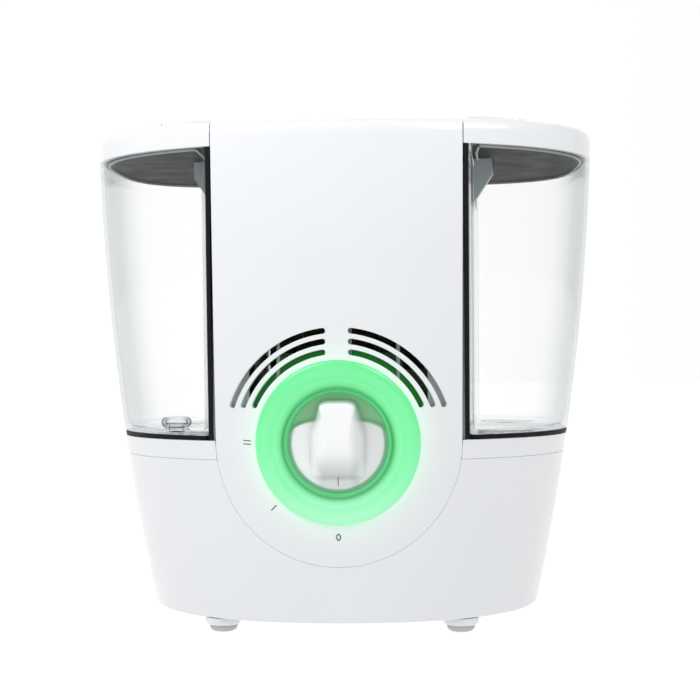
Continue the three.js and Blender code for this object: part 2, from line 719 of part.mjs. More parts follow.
// A box in the frame of the column's slanting side: x counts outwards from the column line.
function sideBox(x, y, z) {
  const corner = (across, along) => [columnHalf(along) + across, along];
  return prismZ([corner(x[0], y[0]), corner(x[1], y[0]), corner(x[1], y[1]), corner(x[0], y[1])], z[0], z[1]);
}

// The finger pocket beside the column. Its floor slopes down towards the column and up towards the back.
function pocketForm(inset) {
  const x0 = POCKET_START_X + inset;
  const x1 = POCKET_DEPTH_X - inset;
  const low = POCKET_Z[0] + inset * 1.4;
  const high = POCKET_Z[1] + inset * 0.6;
  const along = [POCKET_Y[0] + inset, POCKET_Y[1] - inset];
  const upright = sideBox([x0, x1], along, [low, FAR + CROWN_Z]);
  const deep = low - FAR;
  const slope = shapeOf([[x0, low], [x1, high], [x1 + FAR, high + FAR], [x1 + FAR, deep], [x0, deep]]);
  const wedge = new THREE.ExtrudeGeometry(slope, { depth: 2 * FAR, bevelEnabled: false });
  wedge.rotateX(Math.PI / 2).translate(0, FAR - along[0], -low).rotateX(POCKET_TILT);
  wedge.translate(0, along[0], low).rotateZ(-Math.atan(COLUMN_SPREAD));
  return upright.subtract(toSolid(wedge.translate(columnHalf(0), 0, 0)));
}

function gripMouth(inset, z0) {
  const across = [POCKET_START_X + inset, GRIP_REACH_X - inset];
  return sideBox(across, [GRIP_Y[0] + inset, GRIP_Y[1] - inset], [z0, FAR + CROWN_Z]);
}

// The clear wall of a tank, open above and below.
function tankShell() {
  const outside = bodySlice(0, SEAL_TOP + GAP, WINDOW_TOP).intersect(prismZ(tankPlan(TANK_MARGIN), 0, 400));
  return cut(outside, stripNotch(0), tankRoom(CLEAR_WALL, SEAL_TOP - 5, WINDOW_TOP + 10));
}

function stripNotch(inset) {
  return box([0, STRIP_EDGE + inset], [-FAR, STRIP_BACK + GAP + inset], [0, 400]);
}

// The room inside a tank's wall between two heights.
function tankRoom(inset, z0, z1) {
  return bodySlice(inset, z0, z1)
    .intersect(prismZ(tankPlan(TANK_MARGIN + inset), 0, 400))
    .subtract(stripNotch(inset));
}

// The clear floor bonded into the wall, with the filler neck and, on one side, a dome over the float.
function tankFloor(withFloatDome) {
  const low = SEAL_TOP + GAP;
  let floor = tankRoom(CLEAR_WALL + GAP, low, low + CLEAR_WALL);
  floor = floor.add(rodZ(NECK_RADIUS, NECK_BOTTOM, low + 2, NECK_X, NECK_Y, 28));
  floor = floor.subtract(rodZ(NECK_RADIUS - 2.5, NECK_BOTTOM - 5, low + 10, NECK_X, NECK_Y, 28));
  if (!withFloatDome) return floor;
  const dome = turnedZ([[0, low], [9, low], [9, low + 5], [7.2, low + 7.9], [4, low + 9], [0, low + 9]], 24);
  const room = turnedZ([[0, low - 3], [7.2, low - 3], [7.2, low + 4.6], [5, low + 7], [0, low + 7]], 24);
  return floor.add(moved(dome, -FLOAT_X, FLOAT_Y, 0)).subtract(moved(room, -FLOAT_X, FLOAT_Y, 0));
}

function tankSeal() {
  const region = prismZ(tankPlan(TANK_MARGIN), 0, 400).subtract(stripNotch(0));
  const core = prismZ(tankPlan(TANK_MARGIN + 7), 0, 400).intersect(bodySlice(7, 95, 130));
  const neckRoom = rodZ(NECK_RADIUS + GAP, 95, 130, NECK_X, NECK_Y, 28);
  return cut(bodySlice(SKIN, DECK_TOP + GAP, SEAL_TOP).intersect(region), core, neckRoom);
}

function tankCrown() {
  const outside = FORM.intersect(prismZ(tankPlan(TANK_MARGIN), COVER_BOTTOM, FAR + CROWN_Z));
  const inside = FORM_INNER.intersect(prismZ(tankPlan(TANK_MARGIN + 2.6), 0, FAR + CROWN_Z));
  return cut(outside, inside, gripMouth(-GAP, COVER_BOTTOM + 3));
}

function tankLiner() {
  const plate = bodySlice(WALL + GAP + SKIN, 276.1, 278.1).intersect(
    prismZ(tankPlan(TANK_MARGIN + 2.6 + GAP), 0, 400),
  );
  return plate.subtract(pocketForm(-GAP));
}

// A thin bead under the crown that keeps splashes from the rim.
function tankGasket() {
  const core = tankRoom(BEAD_INSET[1], BEAD_Z[0] - 5, BEAD_Z[1] + 5);
  return cut(tankRoom(BEAD_INSET[0], ...BEAD_Z), core, pocketForm(-GAP));
}

// The finger cup let into the crown: a shallow tray with a deep pocket beside the column and a flange on top.
function gripCup() {
  const tray = gripMouth(0, 279).intersect(bodyForm(1, 40, 0.6));
  const rim = sideBox([1.6, 35], [GRIP_Y[0] - 6, GRIP_Y[1] + 6], [280, FAR + CROWN_Z])
    .intersect(bodyForm(8, 40, FLANGE_LIFT))
    .subtract(bodyForm(-5, 40, GAP));
  const pocket = pocketForm(0).intersect(bodyForm(1, 40, 0.6));
  const hollow = gripMouth(GRIP_WALL, 279 + GRIP_WALL).add(pocketForm(GRIP_WALL));
  return joined(tray, rim, pocket).subtract(hollow);
}

// The bayonet cap under a tank: a threaded skirt, a floor with the valve seat, and a caged spring housing.
function tankCap() {
  const profile = [[3, CAP_BOTTOM], [20.5, CAP_BOTTOM], [20.5, 103], [18.3, 103], [18.3, 90], [3, 90]];
  const skirt = turnedZ(profile, 20);
  const cage = turnedZ([[7, 89.5], [8.6, 89.5], [8.6, 103.6], [2.6, 103.6], [2.6, 102], [7, 102]], 12);
  const windows = [box([-12, 12], [-3, 3], [93, 100]), box([-3, 3], [-12, 12], [93, 100])];
  const ribs = Array.from({ length: CAP_RIBS }, (_, i) => {
    const rib = new THREE.BoxGeometry(1.6, 2.2, 12).translate(20.7, 0, 95.5);
    return toSolid(rib.rotateZ(((i + 0.5) / CAP_RIBS) * 2 * Math.PI));
  });
  return joined(skirt, cut(cage, ...windows), ...ribs);
}

function valvePlunger() {
  const [seat, disc, top] = [90.3, 92, 104.5];
  const foot = [[0, VALVE_FOOT], [2.2, VALVE_FOOT], [2.2, seat], [6, seat], [6, disc]];
  return turnedZ([...foot, [2, disc], [2, top], [0, top]], 14);
}

// A helical spring of round wire between the plunger's disc and the top of its cage.
function valveSpring() {
  const [z0, z1, turns, radius, wire] = [93, 101, 4, 4.2, 0.6];
  class Helix extends THREE.Curve {
    getPoint(t, target = new THREE.Vector3()) {
      const angle = 2 * Math.PI * turns * t;
      return target.set(radius * Math.cos(angle), radius * Math.sin(angle), z0 + (z1 - z0) * t);
    }
  }
  const section = new THREE.Shape();
  section.absarc(0, 0, wire, 0, 2 * Math.PI, false);
  const options = { steps: turns * 8, extrudePath: new Helix(), bevelEnabled: false, curveSegments: 3 };
  return toSolid(new THREE.ExtrudeGeometry(section, options));
}

function buildTank(side) {
  const tank = new THREE.Group();
  const name = (piece) => `tank_${side}_${piece}`;
  tank.add(
    meshOf(name("shell"), tankShell(), "clear"),
    meshOf(name("floor"), tankFloor(side === "left"), "clear"),
    meshOf(name("seal"), tankSeal(), "seal"),
    meshOf(name("crown"), tankCrown(), "white"),
    meshOf(name("liner"), tankLiner(), "liner"),
    meshOf(name("gasket"), tankGasket(), "gasket"),
    meshOf(name("grip_cup"), gripCup(), "grip"),
  );
  const neck = new THREE.Group();
  neck.position.set(NECK_X, NECK_Y, 0);
  neck.add(
    meshOf(name("cap"), tankCap(), "dark"),
    meshOf(name("cap_seal"), tubeZ(13, 17.6, 90.3, NECK_BOTTOM - GAP, 24), "seal"),
    meshOf(name("valve"), valvePlunger(), "white"),
    meshOf(name("spring"), valveSpring(), "steel"),
  );
  tank.add(neck);
  if (side === "left") tank.scale.x = -1;
  return tank;
}

// A black strip on the column's front corner, beside the panel, that the tank closes against.
function edgeStrip() {
  const plan = box([70.95, STRIP_EDGE - GAP], [-FAR, STRIP_BACK - GAP], [0, 400]);
  return bodySlice(SKIN, COLUMN_BOTTOM, WINDOW_TOP).intersect(plan);
}

// ---------------------------------------------------------------- assembly

const humidifier = new THREE.Group();

const base = new THREE.Group();
base.add(
  meshOf("base_tub", baseTub(), "white"),
  meshOf("water_tray", waterTray(), "white"),
  meshOf("cord_gland", cordGland(), "dark"),
);
for (const side of ["left", "right"]) {
  const well = meshOf(`tank_well_${side}`, tankWell(), "white");
  well.position.set(side === "left" ? -NECK_X : NECK_X, NECK_Y, 0);
  base.add(well);
}
const floatSpot = new THREE.Group();
floatSpot.position.set(FLOAT_X, FLOAT_Y, 0);
floatSpot.add(
  meshOf("float_guide", floatGuide(), "white"),
  meshOf("low_water_float", lowWaterFloat(), "grip"),
);
base.add(floatSpot);
addFeet(base);

const controls = new THREE.Group();
controls.add(
  meshOf("front_panel", frontPanel(), "white"),
  meshOf("light_ring", lightRing(), "glow"),
  meshOf("knob_well", knobWell(), "white"),
  meshOf("knob", knob(), "knob"),
  meshOf("knob_shaft", knobShaft(), "steel"),
  meshOf("slot_guard", slotGuard(), "dark"),
  meshOf("light_guide", lightGuide(), "glow"),
  meshOf("led_board", ledBoard(), "board"),
  meshOf("rotary_switch", rotarySwitch(), "dark"),
  meshOf("control_board", controlBoard(), "board"),
);

const column = new THREE.Group();
column.add(
  meshOf("column_shell", columnShell(), "white"),
  meshOf("rear_grille", rearGrille(), "white"),
  meshOf("top_cover", topCover(), "white"),
  meshOf("fan_shroud", fanShroud(), "dark"),
  meshOf("fan_deck", fanDeck(), "dark"),
  meshOf("wick_filter", wickFilter(), "wick"),
  meshOf("wick_frame", wickFrame(), "white"),
  meshOf("edge_strip_right", edgeStrip(), "seal"),
);
const mirroredStrip = meshOf("edge_strip_left", edgeStrip(), "seal");
mirroredStrip.scale.x = -1;
column.add(mirroredStrip);

const fan = new THREE.Group();
fan.position.set(0, FAN_Y, 0);
const impeller = meshOf("fan_impeller", fanImpeller(), "dark");
impeller.position.z = 244;
fan.add(
  impeller,
  meshOf("fan_shaft", rodZ(2.5, 239.3, 253.7, 0, 0, 16), "steel"),
  meshOf("fan_motor", fanMotor(), "dark"),
  meshOf("motor_bracket", motorBracket(), "steel"),
);

humidifier.add(base, controls, column, fan, buildTank("left"), buildTank("right"));

export default humidifier;
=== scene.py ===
"""Looks of the cool mist humidifier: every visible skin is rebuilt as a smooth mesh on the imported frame,
the inner works keep their CAD nodes, and each surface gets a procedural material.
Lengths in the builders are millimetres; put() turns them into metres."""

import math

import bmesh
import bpy
import numpy as np
from mathutils import Matrix, Vector
from mathutils.geometry import delaunay_2d_cdt


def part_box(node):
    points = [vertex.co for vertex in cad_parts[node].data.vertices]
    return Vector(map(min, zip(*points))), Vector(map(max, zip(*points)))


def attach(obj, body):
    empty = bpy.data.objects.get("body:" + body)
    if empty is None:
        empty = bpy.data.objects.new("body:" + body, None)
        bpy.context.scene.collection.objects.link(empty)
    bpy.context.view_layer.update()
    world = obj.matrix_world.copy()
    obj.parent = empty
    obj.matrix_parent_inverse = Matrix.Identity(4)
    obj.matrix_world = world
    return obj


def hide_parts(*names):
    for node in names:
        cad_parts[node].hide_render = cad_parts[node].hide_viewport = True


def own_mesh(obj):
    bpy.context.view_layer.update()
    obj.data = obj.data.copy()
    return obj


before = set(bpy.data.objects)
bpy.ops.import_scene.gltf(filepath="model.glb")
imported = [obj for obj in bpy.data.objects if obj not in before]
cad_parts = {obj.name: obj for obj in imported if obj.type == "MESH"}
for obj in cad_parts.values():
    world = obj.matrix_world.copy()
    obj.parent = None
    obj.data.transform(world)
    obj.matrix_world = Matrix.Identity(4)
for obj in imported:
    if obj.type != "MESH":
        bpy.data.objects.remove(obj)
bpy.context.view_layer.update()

# ------------------------------------------------------------------ driving dimensions, in millimetres

MM = 0.001  # one millimetre in metres
GAP = 0.3  # clearance between neighbouring pieces
HAIR = 0.08  # the width at which the outer skins' seams are drawn
WALL = 3.0
SIDES = {"left": -1, "right": 1}

HALF_WIDTH = 151.4  # the body at its rim, under the rounded top edge
HALF_DEPTH = 108.0
RIM_Z = 282.4
FRONT_POWER = 2.2  # how square the plan is in front and behind
BACK_POWER = 4.0
CROWN_Z = 292.8
CROWN_ARCH = 0.00033
EDGE_RADIUS = 6.0

FOOT_Z = 8.6
FOOT_EDGE = 1.4
BAND_TOP = 16.0  # the base's lower band is laid in rows up to here
BASE_TOP = 99.6
TUB_SCALE = 120.0  # the radius that turns a direction into a distance along the belt
DECK_BOTTOM = 100.0
DECK_TOP = 110.8
WICK_MOUTH = (-62, 62, -57, 90)
WELL_MOUTH = 24.3
FLOAT_MOUTH = 9.3

DIAL_Z = 109.8
PANEL_RADIUS = 69.3
PANEL_SPREAD = 1.2 / 200
PANEL_BACK_Y = -84.0
SIDE_Q = 270.0  # distances up the panel's face: the end of its plain side,
FILLET_Q = 285.0  # the start of its rounded top edge, and the end of it
TOP_Q = FILLET_Q + EDGE_RADIUS * math.pi / 2
RING_OUTER = 46.0
RING_INNER = 30.0
RING_BACK_Y = -93.8
WELL_BACK_Y = -90.0
KNOB_RADIUS = 27.8
KNOB_BACK = -94.4
MARK_RADIUS = 51.0
SLOT_RADII = (51.0, 56.9, 62.8)
SLOT_HALF = 1.6
SLOT_GAP = 6.2
SLOT_LOW = 19.5

COLUMN_HALF_FRONT = 70.6
COLUMN_FRONT_Y = -96.0
COLUMN_SPREAD = 14 / 196
SEAL_TOP = 113.3
WINDOW_TOP = 275.5
COVER_BOTTOM = 275.8
TANK_MARGIN = 0.5
STRIP_EDGE = 73.8
CLEAR_WALL = 2.4
NECK = (101.0, 20.0)
NECK_RADIUS = 18.0
NECK_BOTTOM = 92.0
FLOAT_SPOT = (99.0, -45.0)
FLOAT_HOLE = 4.6
BEAD_INSET = (5.2, 6.4)
BEAD_Z = (274.6, 275.8)
LINER_Z = (276.1, 278.1)
POCKET_X = (3.5, 14.9)  # outward from the column line
POCKET_Y = (-28.3, 34.3)
GRIP_X = (3.5, 32.3)  # outward from the column line
GRIP_Y = (-74.3, 62.3)

VENT_Y = -3.0
VENT_RADIUS = 52.0
VENT_PITCH = 9.0
GRILLE_PITCH = 13.0
GRILLE_SLOT = 7.0
GRILLE_SLOTS_Z = (131.0, 252.0)


# ------------------------------------------------------------------ form of the body

def half_width(z):
    below = RIM_Z - min(z, RIM_Z)
    return HALF_WIDTH - 0.032 * below - 0.000338 * below**2


def front_depth(z):
    below = RIM_Z - min(z, RIM_Z)
    return HALF_DEPTH - 0.01 * below - 0.00014 * below**2


def back_depth(z):
    below = RIM_Z - min(z, RIM_Z)
    return HALF_DEPTH - 0.012 * below - 0.00017 * below**2


def outline_at(phi, z, inset=0.0):
    """The point of the plan outline in direction phi at height z."""
    c, s = math.cos(phi), math.sin(phi)
    power = FRONT_POWER if s < 0 else BACK_POWER
    a = half_width(z) - inset
    b = (front_depth(z) if s < 0 else back_depth(z)) - inset
    r = ((abs(c) / a) ** power + (abs(s) / b) ** power) ** (-1 / power)
    return r * c, r * s


def front_y(x, z, inset=0.0):
    a = half_width(z) - inset
    return -(front_depth(z) - inset) * (1 - min(abs(x) / a, 1) ** FRONT_POWER) ** (1 / FRONT_POWER)


def back_y(x, z):
    return back_depth(z) * (1 - min(abs(x) / half_width(z), 1) ** BACK_POWER) ** (1 / BACK_POWER)


def top_z(y):
    return CROWN_Z - CROWN_ARCH * y * y


def column_half(y):
    return COLUMN_HALF_FRONT + (y - COLUMN_FRONT_Y) * COLUMN_SPREAD


def fillet(theta):
    """Inward and downward travel round the top edge; theta runs from the side to the top."""
    return EDGE_RADIUS * (1 - math.cos(theta)), EDGE_RADIUS * (1 - math.sin(theta))


def crossing(level, margin, low, high):
    """The direction in which a level's outline meets the tank's inner side."""
    for _ in range(40):
        mid = (low + high) / 2
        x, y, _z = level(mid)
        if x > column_half(y) + margin:
            high = mid
        else:
            low = mid
    return (low + high) / 2


def rear_crossing(level, margin):
    """The same behind the middle."""
    return math.pi - crossing(lambda phi: level(math.pi - phi), margin, math.pi / 2, math.pi)


def side_level(z, inset=0.0):
    return lambda phi: (*outline_at(phi, z, inset), z)


def top_level(inset, drop):
    def place(phi):
        x, y = outline_at(phi, RIM_Z, inset)
        return x, y, top_z(y) - drop

    return place


def steps(low, high, count):
    return [low + (high - low) * i / count for i in range(count + 1)]


# ------------------------------------------------------------------ mesh helpers

def put(name, verts, faces, material, body, replaced=(), facing=None):
    """A mesh object from millimetres, riding on a body and standing for CAD nodes."""
    mesh = bpy.data.meshes.new(name)
    mesh.from_pydata([(x * MM, y * MM, z * MM) for x, y, z in verts], [], faces)
    work = bmesh.new()
    work.from_mesh(mesh)
    bmesh.ops.remove_doubles(work, verts=work.verts, dist=2e-6)
    bmesh.ops.dissolve_degenerate(work, edges=work.edges, dist=1e-7)
    if facing is None:
        bmesh.ops.recalc_face_normals(work, faces=work.faces)
    else:
        work.normal_update()
        score = sum(f.calc_area() * f.normal.dot(facing(f.calc_center_median())) for f in work.faces)
        if score < 0:
            bmesh.ops.reverse_faces(work, faces=work.faces)
    work.to_mesh(mesh)
    work.free()
    mesh.polygons.foreach_set("use_smooth", [True] * len(mesh.polygons))
    obj = bpy.data.objects.new(name, mesh)
    bpy.context.scene.collection.objects.link(obj)
    obj.data.materials.append(material)
    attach(obj, body)
    if replaced:
        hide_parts(*replaced)
    return obj


def thicken(obj, thickness):
    mod = obj.modifiers.new("wall", "SOLIDIFY")
    mod.thickness = thickness * MM
    mod.offset = -1
    mod.use_even_offset = True
    mod.use_quality_normals = True


def soften(obj, width=0.4, segments=3, angle=38):
    """Rounded edges, then normals that keep the broad faces flat."""
    edge = obj.modifiers.new("edges", "BEVEL")
    edge.width = width * MM
    edge.segments = segments
    edge.limit_method = "ANGLE"
    edge.angle_limit = math.radians(angle)
    edge.use_clamp_overlap = True
    normal = obj.modifiers.new("normals", "WEIGHTED_NORMAL")
    normal.mode = "FACE_AREA"
    normal.keep_sharp = True


def inside(points, loop):
    """Which points lie in a closed loop."""
    points, loop = np.asarray(points, float), np.asarray(loop, float)
    result = np.zeros(len(points), bool)
    for (x0, y0), (x1, y1) in zip(loop, np.roll(loop, -1, axis=0)):
        if y0 == y1:
            continue
        crosses = (points[:, 1] < y0) != (points[:, 1] < y1)
        at = x0 + (points[:, 1] - y0) * (x1 - x0) / (y1 - y0)
        result ^= crosses & (points[:, 0] < at)
    return result


def fill(outline, holes=(), grid=4.0):
    """Triangles over a flat region: its border points as given and an even grid within."""
    loops = [outline, *holes]
    points = [tuple(p) for loop in loops for p in loop]
    edges, start = [], 0
    for loop in loops:
        n = len(loop)
        edges += [(start + i, start + (i + 1) % n) for i in range(n)]
        start += n
    border = np.array(points)
    low, high = border.min(0), border.max(0)
    rows = int((high[1] - low[1]) / (grid * 0.87)) + 1
    columns = int((high[0] - low[0]) / grid) + 2
    seeds = np.array([
        (low[0] + (i + 0.5 * (j % 2)) * grid, low[1] + (j + 0.5) * grid * 0.87)
        for j in range(rows) for i in range(columns)
    ])
    keep = inside(seeds, outline)
    for hole in holes:
        keep &= ~inside(seeds, hole)
    seeds = seeds[keep]
    if len(seeds):
        near = np.array([np.min(np.sum((border - p) ** 2, axis=1)) for p in seeds])
        seeds = seeds[near > (0.55 * grid) ** 2]
    every = [Vector(p) for p in points] + [Vector(p) for p in seeds]
    flat, _edges, tris, *_rest = delaunay_2d_cdt(every, edges, [], 1, 1e-6)
    flat = np.array([tuple(v) for v in flat])
    centres = np.array([flat[list(t)].mean(0) for t in tris])
    keep = inside(centres, outline)
    for hole in holes:
        keep &= ~inside(centres, hole)
    return [tuple(v) for v in flat], [tuple(t) for t, good in zip(tris, keep) if good]


def grid_faces(rows, columns, closed=False, start=0):
    """Quads over rows of equal length laid one after another."""
    faces = []
    span = columns if closed else columns - 1
    for r in range(rows - 1):
        for c in range(span):
            d = (c + 1) % columns
            a = start + r * columns
            faces.append((a + c, a + d, a + columns + d, a + columns + c))
    return faces


def loop_stack(loops, wrap=False):
    """A skin through closed loops of equal length."""
    n = len(loops[0])
    verts = [p for loop in loops for p in loop]
    faces = grid_faces(len(loops), n, closed=True)
    if wrap:
        last = (len(loops) - 1) * n
        faces += [(last + c, last + (c + 1) % n, (c + 1) % n, c) for c in range(n)]
    return verts, faces


def lathe(profile, segments=64, origin=(0, 0, 0), axis="Z"):
    """A closed profile of (radius, height) turned about Z, or facing -Y or +Y."""
    turn = {"Z": lambda a, b, h: (a, b, h), "-Y": lambda a, b, h: (a, -h, b), "+Y": lambda a, b, h: (a, h, b)}
    loops = []
    for r, h in profile:
        ring = [turn[axis](a, b, h) for a, b in circle(0, 0, max(r, 1e-4), segments)]
        loops.append([(x + origin[0], y + origin[1], z + origin[2]) for x, y, z in ring])
    return loop_stack(loops, wrap=True)


def join(*parts):
    """Several (verts, faces) pairs as one."""
    verts, faces = [], []
    for part_verts, part_faces in parts:
        start = len(verts)
        verts += part_verts
        faces += [tuple(i + start for i in face) for face in part_faces]
    return verts, faces


def mirrored(verts, faces, side):
    """The right side's mesh as it is, or turned into the left side's."""
    if side > 0:
        return verts, faces
    return [(-x, y, z) for x, y, z in verts], [tuple(reversed(f)) for f in faces]


def plate(outline, holes, z0, z1, grid=6.0, lower=None):
    """A flat solid between two heights. lower moves a plan point to its place on the underside."""
    flat, tris = fill(outline, holes, grid)
    lower = lower or (lambda x, y: (x, y))
    count = len(flat)
    verts = [(x, y, z1) for x, y in flat] + [(*lower(x, y), z0) for x, y in flat]
    faces = list(tris) + [tuple(reversed([i + count for i in t])) for t in tris]
    uses = {edge: True for t in tris for edge in zip(t, (*t[1:], t[0]))}
    for a, b in uses:
        if (b, a) not in uses:
            faces.append((b, a, a + count, b + count))
    return verts, faces


def circle(x, y, radius, count=64):
    return [(x + radius * math.cos(2 * math.pi * i / count), y + radius * math.sin(2 * math.pi * i / count))
            for i in range(count)]


def along(points, step):
    """A polyline with its straight runs divided into even steps."""
    result = []
    for (x0, y0), (x1, y1) in zip(points, points[1:]):
        n = max(1, round(math.hypot(x1 - x0, y1 - y0) / step))
        result += [(x0 + (x1 - x0) * i / n, y0 + (y1 - y0) * i / n) for i in range(n)]
    return result + [points[-1]]


def rounded_box(x0, x1, y0, y1, radius, count=6):
    points = []
    for cx, cy, start in ((x1 - radius, y0 + radius, -90), (x1 - radius, y1 - radius, 0),
                          (x0 + radius, y1 - radius, 90), (x0 + radius, y0 + radius, 180)):
        for i in range(count + 1):
            angle = math.radians(start + 90 * i / count)
            points.append((cx + radius * math.cos(angle), cy + radius * math.sin(angle)))
    points.append(points[0])
    return along(points, 3.0)[:-1]


# ------------------------------------------------------------------ materials

WHITE = (0.72, 0.735, 0.755)
FINE_GRAIN = 0.00003  # heights of bumps, in metres
RIPPLE = 0.0002
FIBRE_HEIGHT = 0.0004
TRACK_HEIGHT = 0.0001


def node_material(name):
    material = bpy.data.materials.new(name)
    material.use_nodes = True
    tree = material.node_tree
    shader = tree.nodes["Principled BSDF"]
    return material, tree, shader


def noise(tree, coords, scale, detail=3.0, rough=0.55):
    node = tree.nodes.new("ShaderNodeTexNoise")
    node.inputs["Scale"].default_value = scale
    node.inputs["Detail"].default_value = detail
    node.inputs["Roughness"].default_value = rough
    tree.links.new(coords, node.inputs["Vector"])
    return node.outputs["Fac"]


def spread(tree, value, low, high, start=0.3, end=0.7):
    node = tree.nodes.new("ShaderNodeMapRange")
    node.inputs["From Min"].default_value = start
    node.inputs["From Max"].default_value = end
    node.inputs["To Min"].default_value = low
    node.inputs["To Max"].default_value = high
    tree.links.new(value, node.inputs["Value"])
    return node.outputs["Result"]


def ramp(tree, value, stops):
    node = tree.nodes.new("ShaderNodeValToRGB")
    elements = node.color_ramp.elements
    while len(elements) < len(stops):
        elements.new(0.5)
    for element, (position, colour) in zip(elements, stops):
        element.position = position
        element.color = (*colour, 1)
    tree.links.new(value, node.inputs["Fac"])
    return node.outputs["Color"]


def blended(tree, first, second, blend="MULTIPLY", amount=1.0):
    """A mix of two colours. Each side, and the amount, is a socket or a plain value."""
    mix = tree.nodes.new("ShaderNodeMix")
    mix.data_type = "RGBA"
    mix.blend_type = blend
    for name, value in (("Factor", amount), ("A", first), ("B", second)):
        if isinstance(value, bpy.types.NodeSocket):
            tree.links.new(value, mix.inputs[name])
        else:
            mix.inputs[name].default_value = (*value, 1) if isinstance(value, tuple) else value
    return mix.outputs["Result"]


def arithmetic(tree, operation, *values):
    node = tree.nodes.new("ShaderNodeMath")
    node.operation = operation
    for place, value in enumerate(values):
        if isinstance(value, bpy.types.NodeSocket):
            tree.links.new(value, node.inputs[place])
        else:
            node.inputs[place].default_value = value
    return node.outputs["Value"]


def component(tree, vector, axis):
    split = tree.nodes.new("ShaderNodeSeparateXYZ")
    tree.links.new(vector, split.inputs["Vector"])
    return split.outputs[axis]


def bump(tree, shader, height, strength, distance):
    node = tree.nodes.new("ShaderNodeBump")
    node.inputs["Strength"].default_value = strength
    node.inputs["Distance"].default_value = distance
    tree.links.new(height, node.inputs["Height"])
    tree.links.new(node.outputs["Normal"], shader.inputs["Normal"])


def scaled(colour, factor):
    return tuple(min(1.0, c * factor) for c in colour)


def fade(first, second, amount):
    return tuple(a + (b - a) * amount for a, b in zip(first, second))


def object_coords(tree):
    return tree.nodes.new("ShaderNodeTexCoord").outputs["Object"]


def moulded(name, colour, roughness, vary=0.03, grain=900.0, strength=0.15, coat=0.0, wear=0.0,
            specular=0.5):
    """Moulded plastic or rubber: faint flow mottling, fine surface grain, uneven gloss, worn edges."""
    material, tree, shader = node_material(name)
    coords = object_coords(tree)
    flow = noise(tree, coords, 18.0, 4.0)
    fine = noise(tree, coords, grain, 2.0)
    tint = ramp(tree, flow, [(0.3, scaled(colour, 1 - vary)), (0.7, scaled(colour, 1 + vary))])
    if wear:
        pointed = tree.nodes.new("ShaderNodeNewGeometry").outputs["Pointiness"]
        tint = blended(tree, tint, scaled(colour, 2.2), "MIX", spread(tree, pointed, 0.0, wear, 0.52, 0.6))
    tree.links.new(tint, shader.inputs["Base Color"])
    smudge = noise(tree, coords, 55.0, 5.0, 0.6)
    tree.links.new(spread(tree, smudge, roughness * 0.85, roughness * 1.2), shader.inputs["Roughness"])
    shader.inputs["Specular IOR Level"].default_value = specular
    if coat:
        shader.inputs["Coat Weight"].default_value = coat
        shader.inputs["Coat Roughness"].default_value = 0.06
    bump(tree, shader, fine, strength, FINE_GRAIN)
    return material


def radius_from_dial(tree):
    """Distance from the dial's axis, in metres."""
    shift = tree.nodes.new("ShaderNodeVectorMath")
    shift.operation = "MULTIPLY_ADD"
    tree.links.new(object_coords(tree), shift.inputs[0])
    shift.inputs[1].default_value = (1, 0, 1)
    shift.inputs[2].default_value = (0, 0, -DIAL_Z * MM)
    length = tree.nodes.new("ShaderNodeVectorMath")
    length.operation = "LENGTH"
    tree.links.new(shift.outputs["Vector"], length.inputs[0])
    return length.outputs["Value"]


def along_stops(tree, value, stops):
    """A value in metres as a share of the way from the first stop to the last, and the stops as shares."""
    low, high = stops[0][0], stops[-1][0]
    shares = [((place - low) / (high - low), amount) for place, amount in stops]
    return spread(tree, value, 0.0, 1.0, low * MM, high * MM), shares


def tint_colour(tree, shader, tint):
    """Multiplies a shader's colour by a colour or a value."""
    plain = shader.inputs["Base Color"].links[0].from_socket
    tree.links.new(blended(tree, plain, tint), shader.inputs["Base Color"])


def add_halo(material, stops, colour, strength):
    """Painted glow: green emission round the dial's axis that stands in for the light of the dial's lamps
    falling on the plastic around it: stops are (radius, amount).
    """
    tree = material.node_tree
    shader = tree.nodes["Principled BSDF"]
    position, shares = along_stops(tree, radius_from_dial(tree), stops)
    tone = ramp(tree, position, [(share, scaled(colour, k)) for share, k in shares])
    tree.links.new(tone, shader.inputs["Emission Color"])
    shader.inputs["Emission Strength"].default_value = strength


def add_depth_glow(material, stops, colour, shade):
    """Green light that fills the hollows of a part with a halo, and greens its own colour there by shade.
    Stops are (depth, amount)."""
    tree = material.node_tree
    shader = tree.nodes["Principled BSDF"]
    position, shares = along_stops(tree, component(tree, object_coords(tree), "Y"), stops)
    depth = ramp(tree, position, [(share, scaled(colour, k)) for share, k in shares])
    halo = shader.inputs["Emission Color"].links[0].from_socket
    tree.links.new(blended(tree, halo, depth, "ADD"), shader.inputs["Emission Color"])
    shades = [(share, fade((1, 1, 1), shade, k)) for share, k in shares]
    tint_colour(tree, shader, ramp(tree, position, shades))


def shade_where(material, dark, *fades):
    """Multiplies a material's colour by dark wherever every fade is 0. A fade runs along one object axis,
    mirrored or not, between two (millimetres, value) ends."""
    tree = material.node_tree
    total = None
    for axis, both_sides, (start, first), (end, last) in fades:
        place = component(tree, object_coords(tree), axis)
        if both_sides:
            place = arithmetic(tree, "ABSOLUTE", place)
        value = spread(tree, place, first, last, start * MM, end * MM)
        total = value if total is None else arithmetic(tree, "MAXIMUM", total, value)
    tint_colour(tree, tree.nodes["Principled BSDF"], spread(tree, total, dark, 1.0, 0.0, 1.0))


def whiten_above(material, low, high):
    """Turns a material white between two heights, in millimetres."""
    tree = material.node_tree
    colour = tree.nodes["Principled BSDF"].inputs["Base Color"]
    risen = spread(tree, component(tree, object_coords(tree), "Z"), 0.0, 1.0, low * MM, high * MM)
    tree.links.new(blended(tree, colour.links[0].from_socket, WHITE, "MIX", risen), colour)


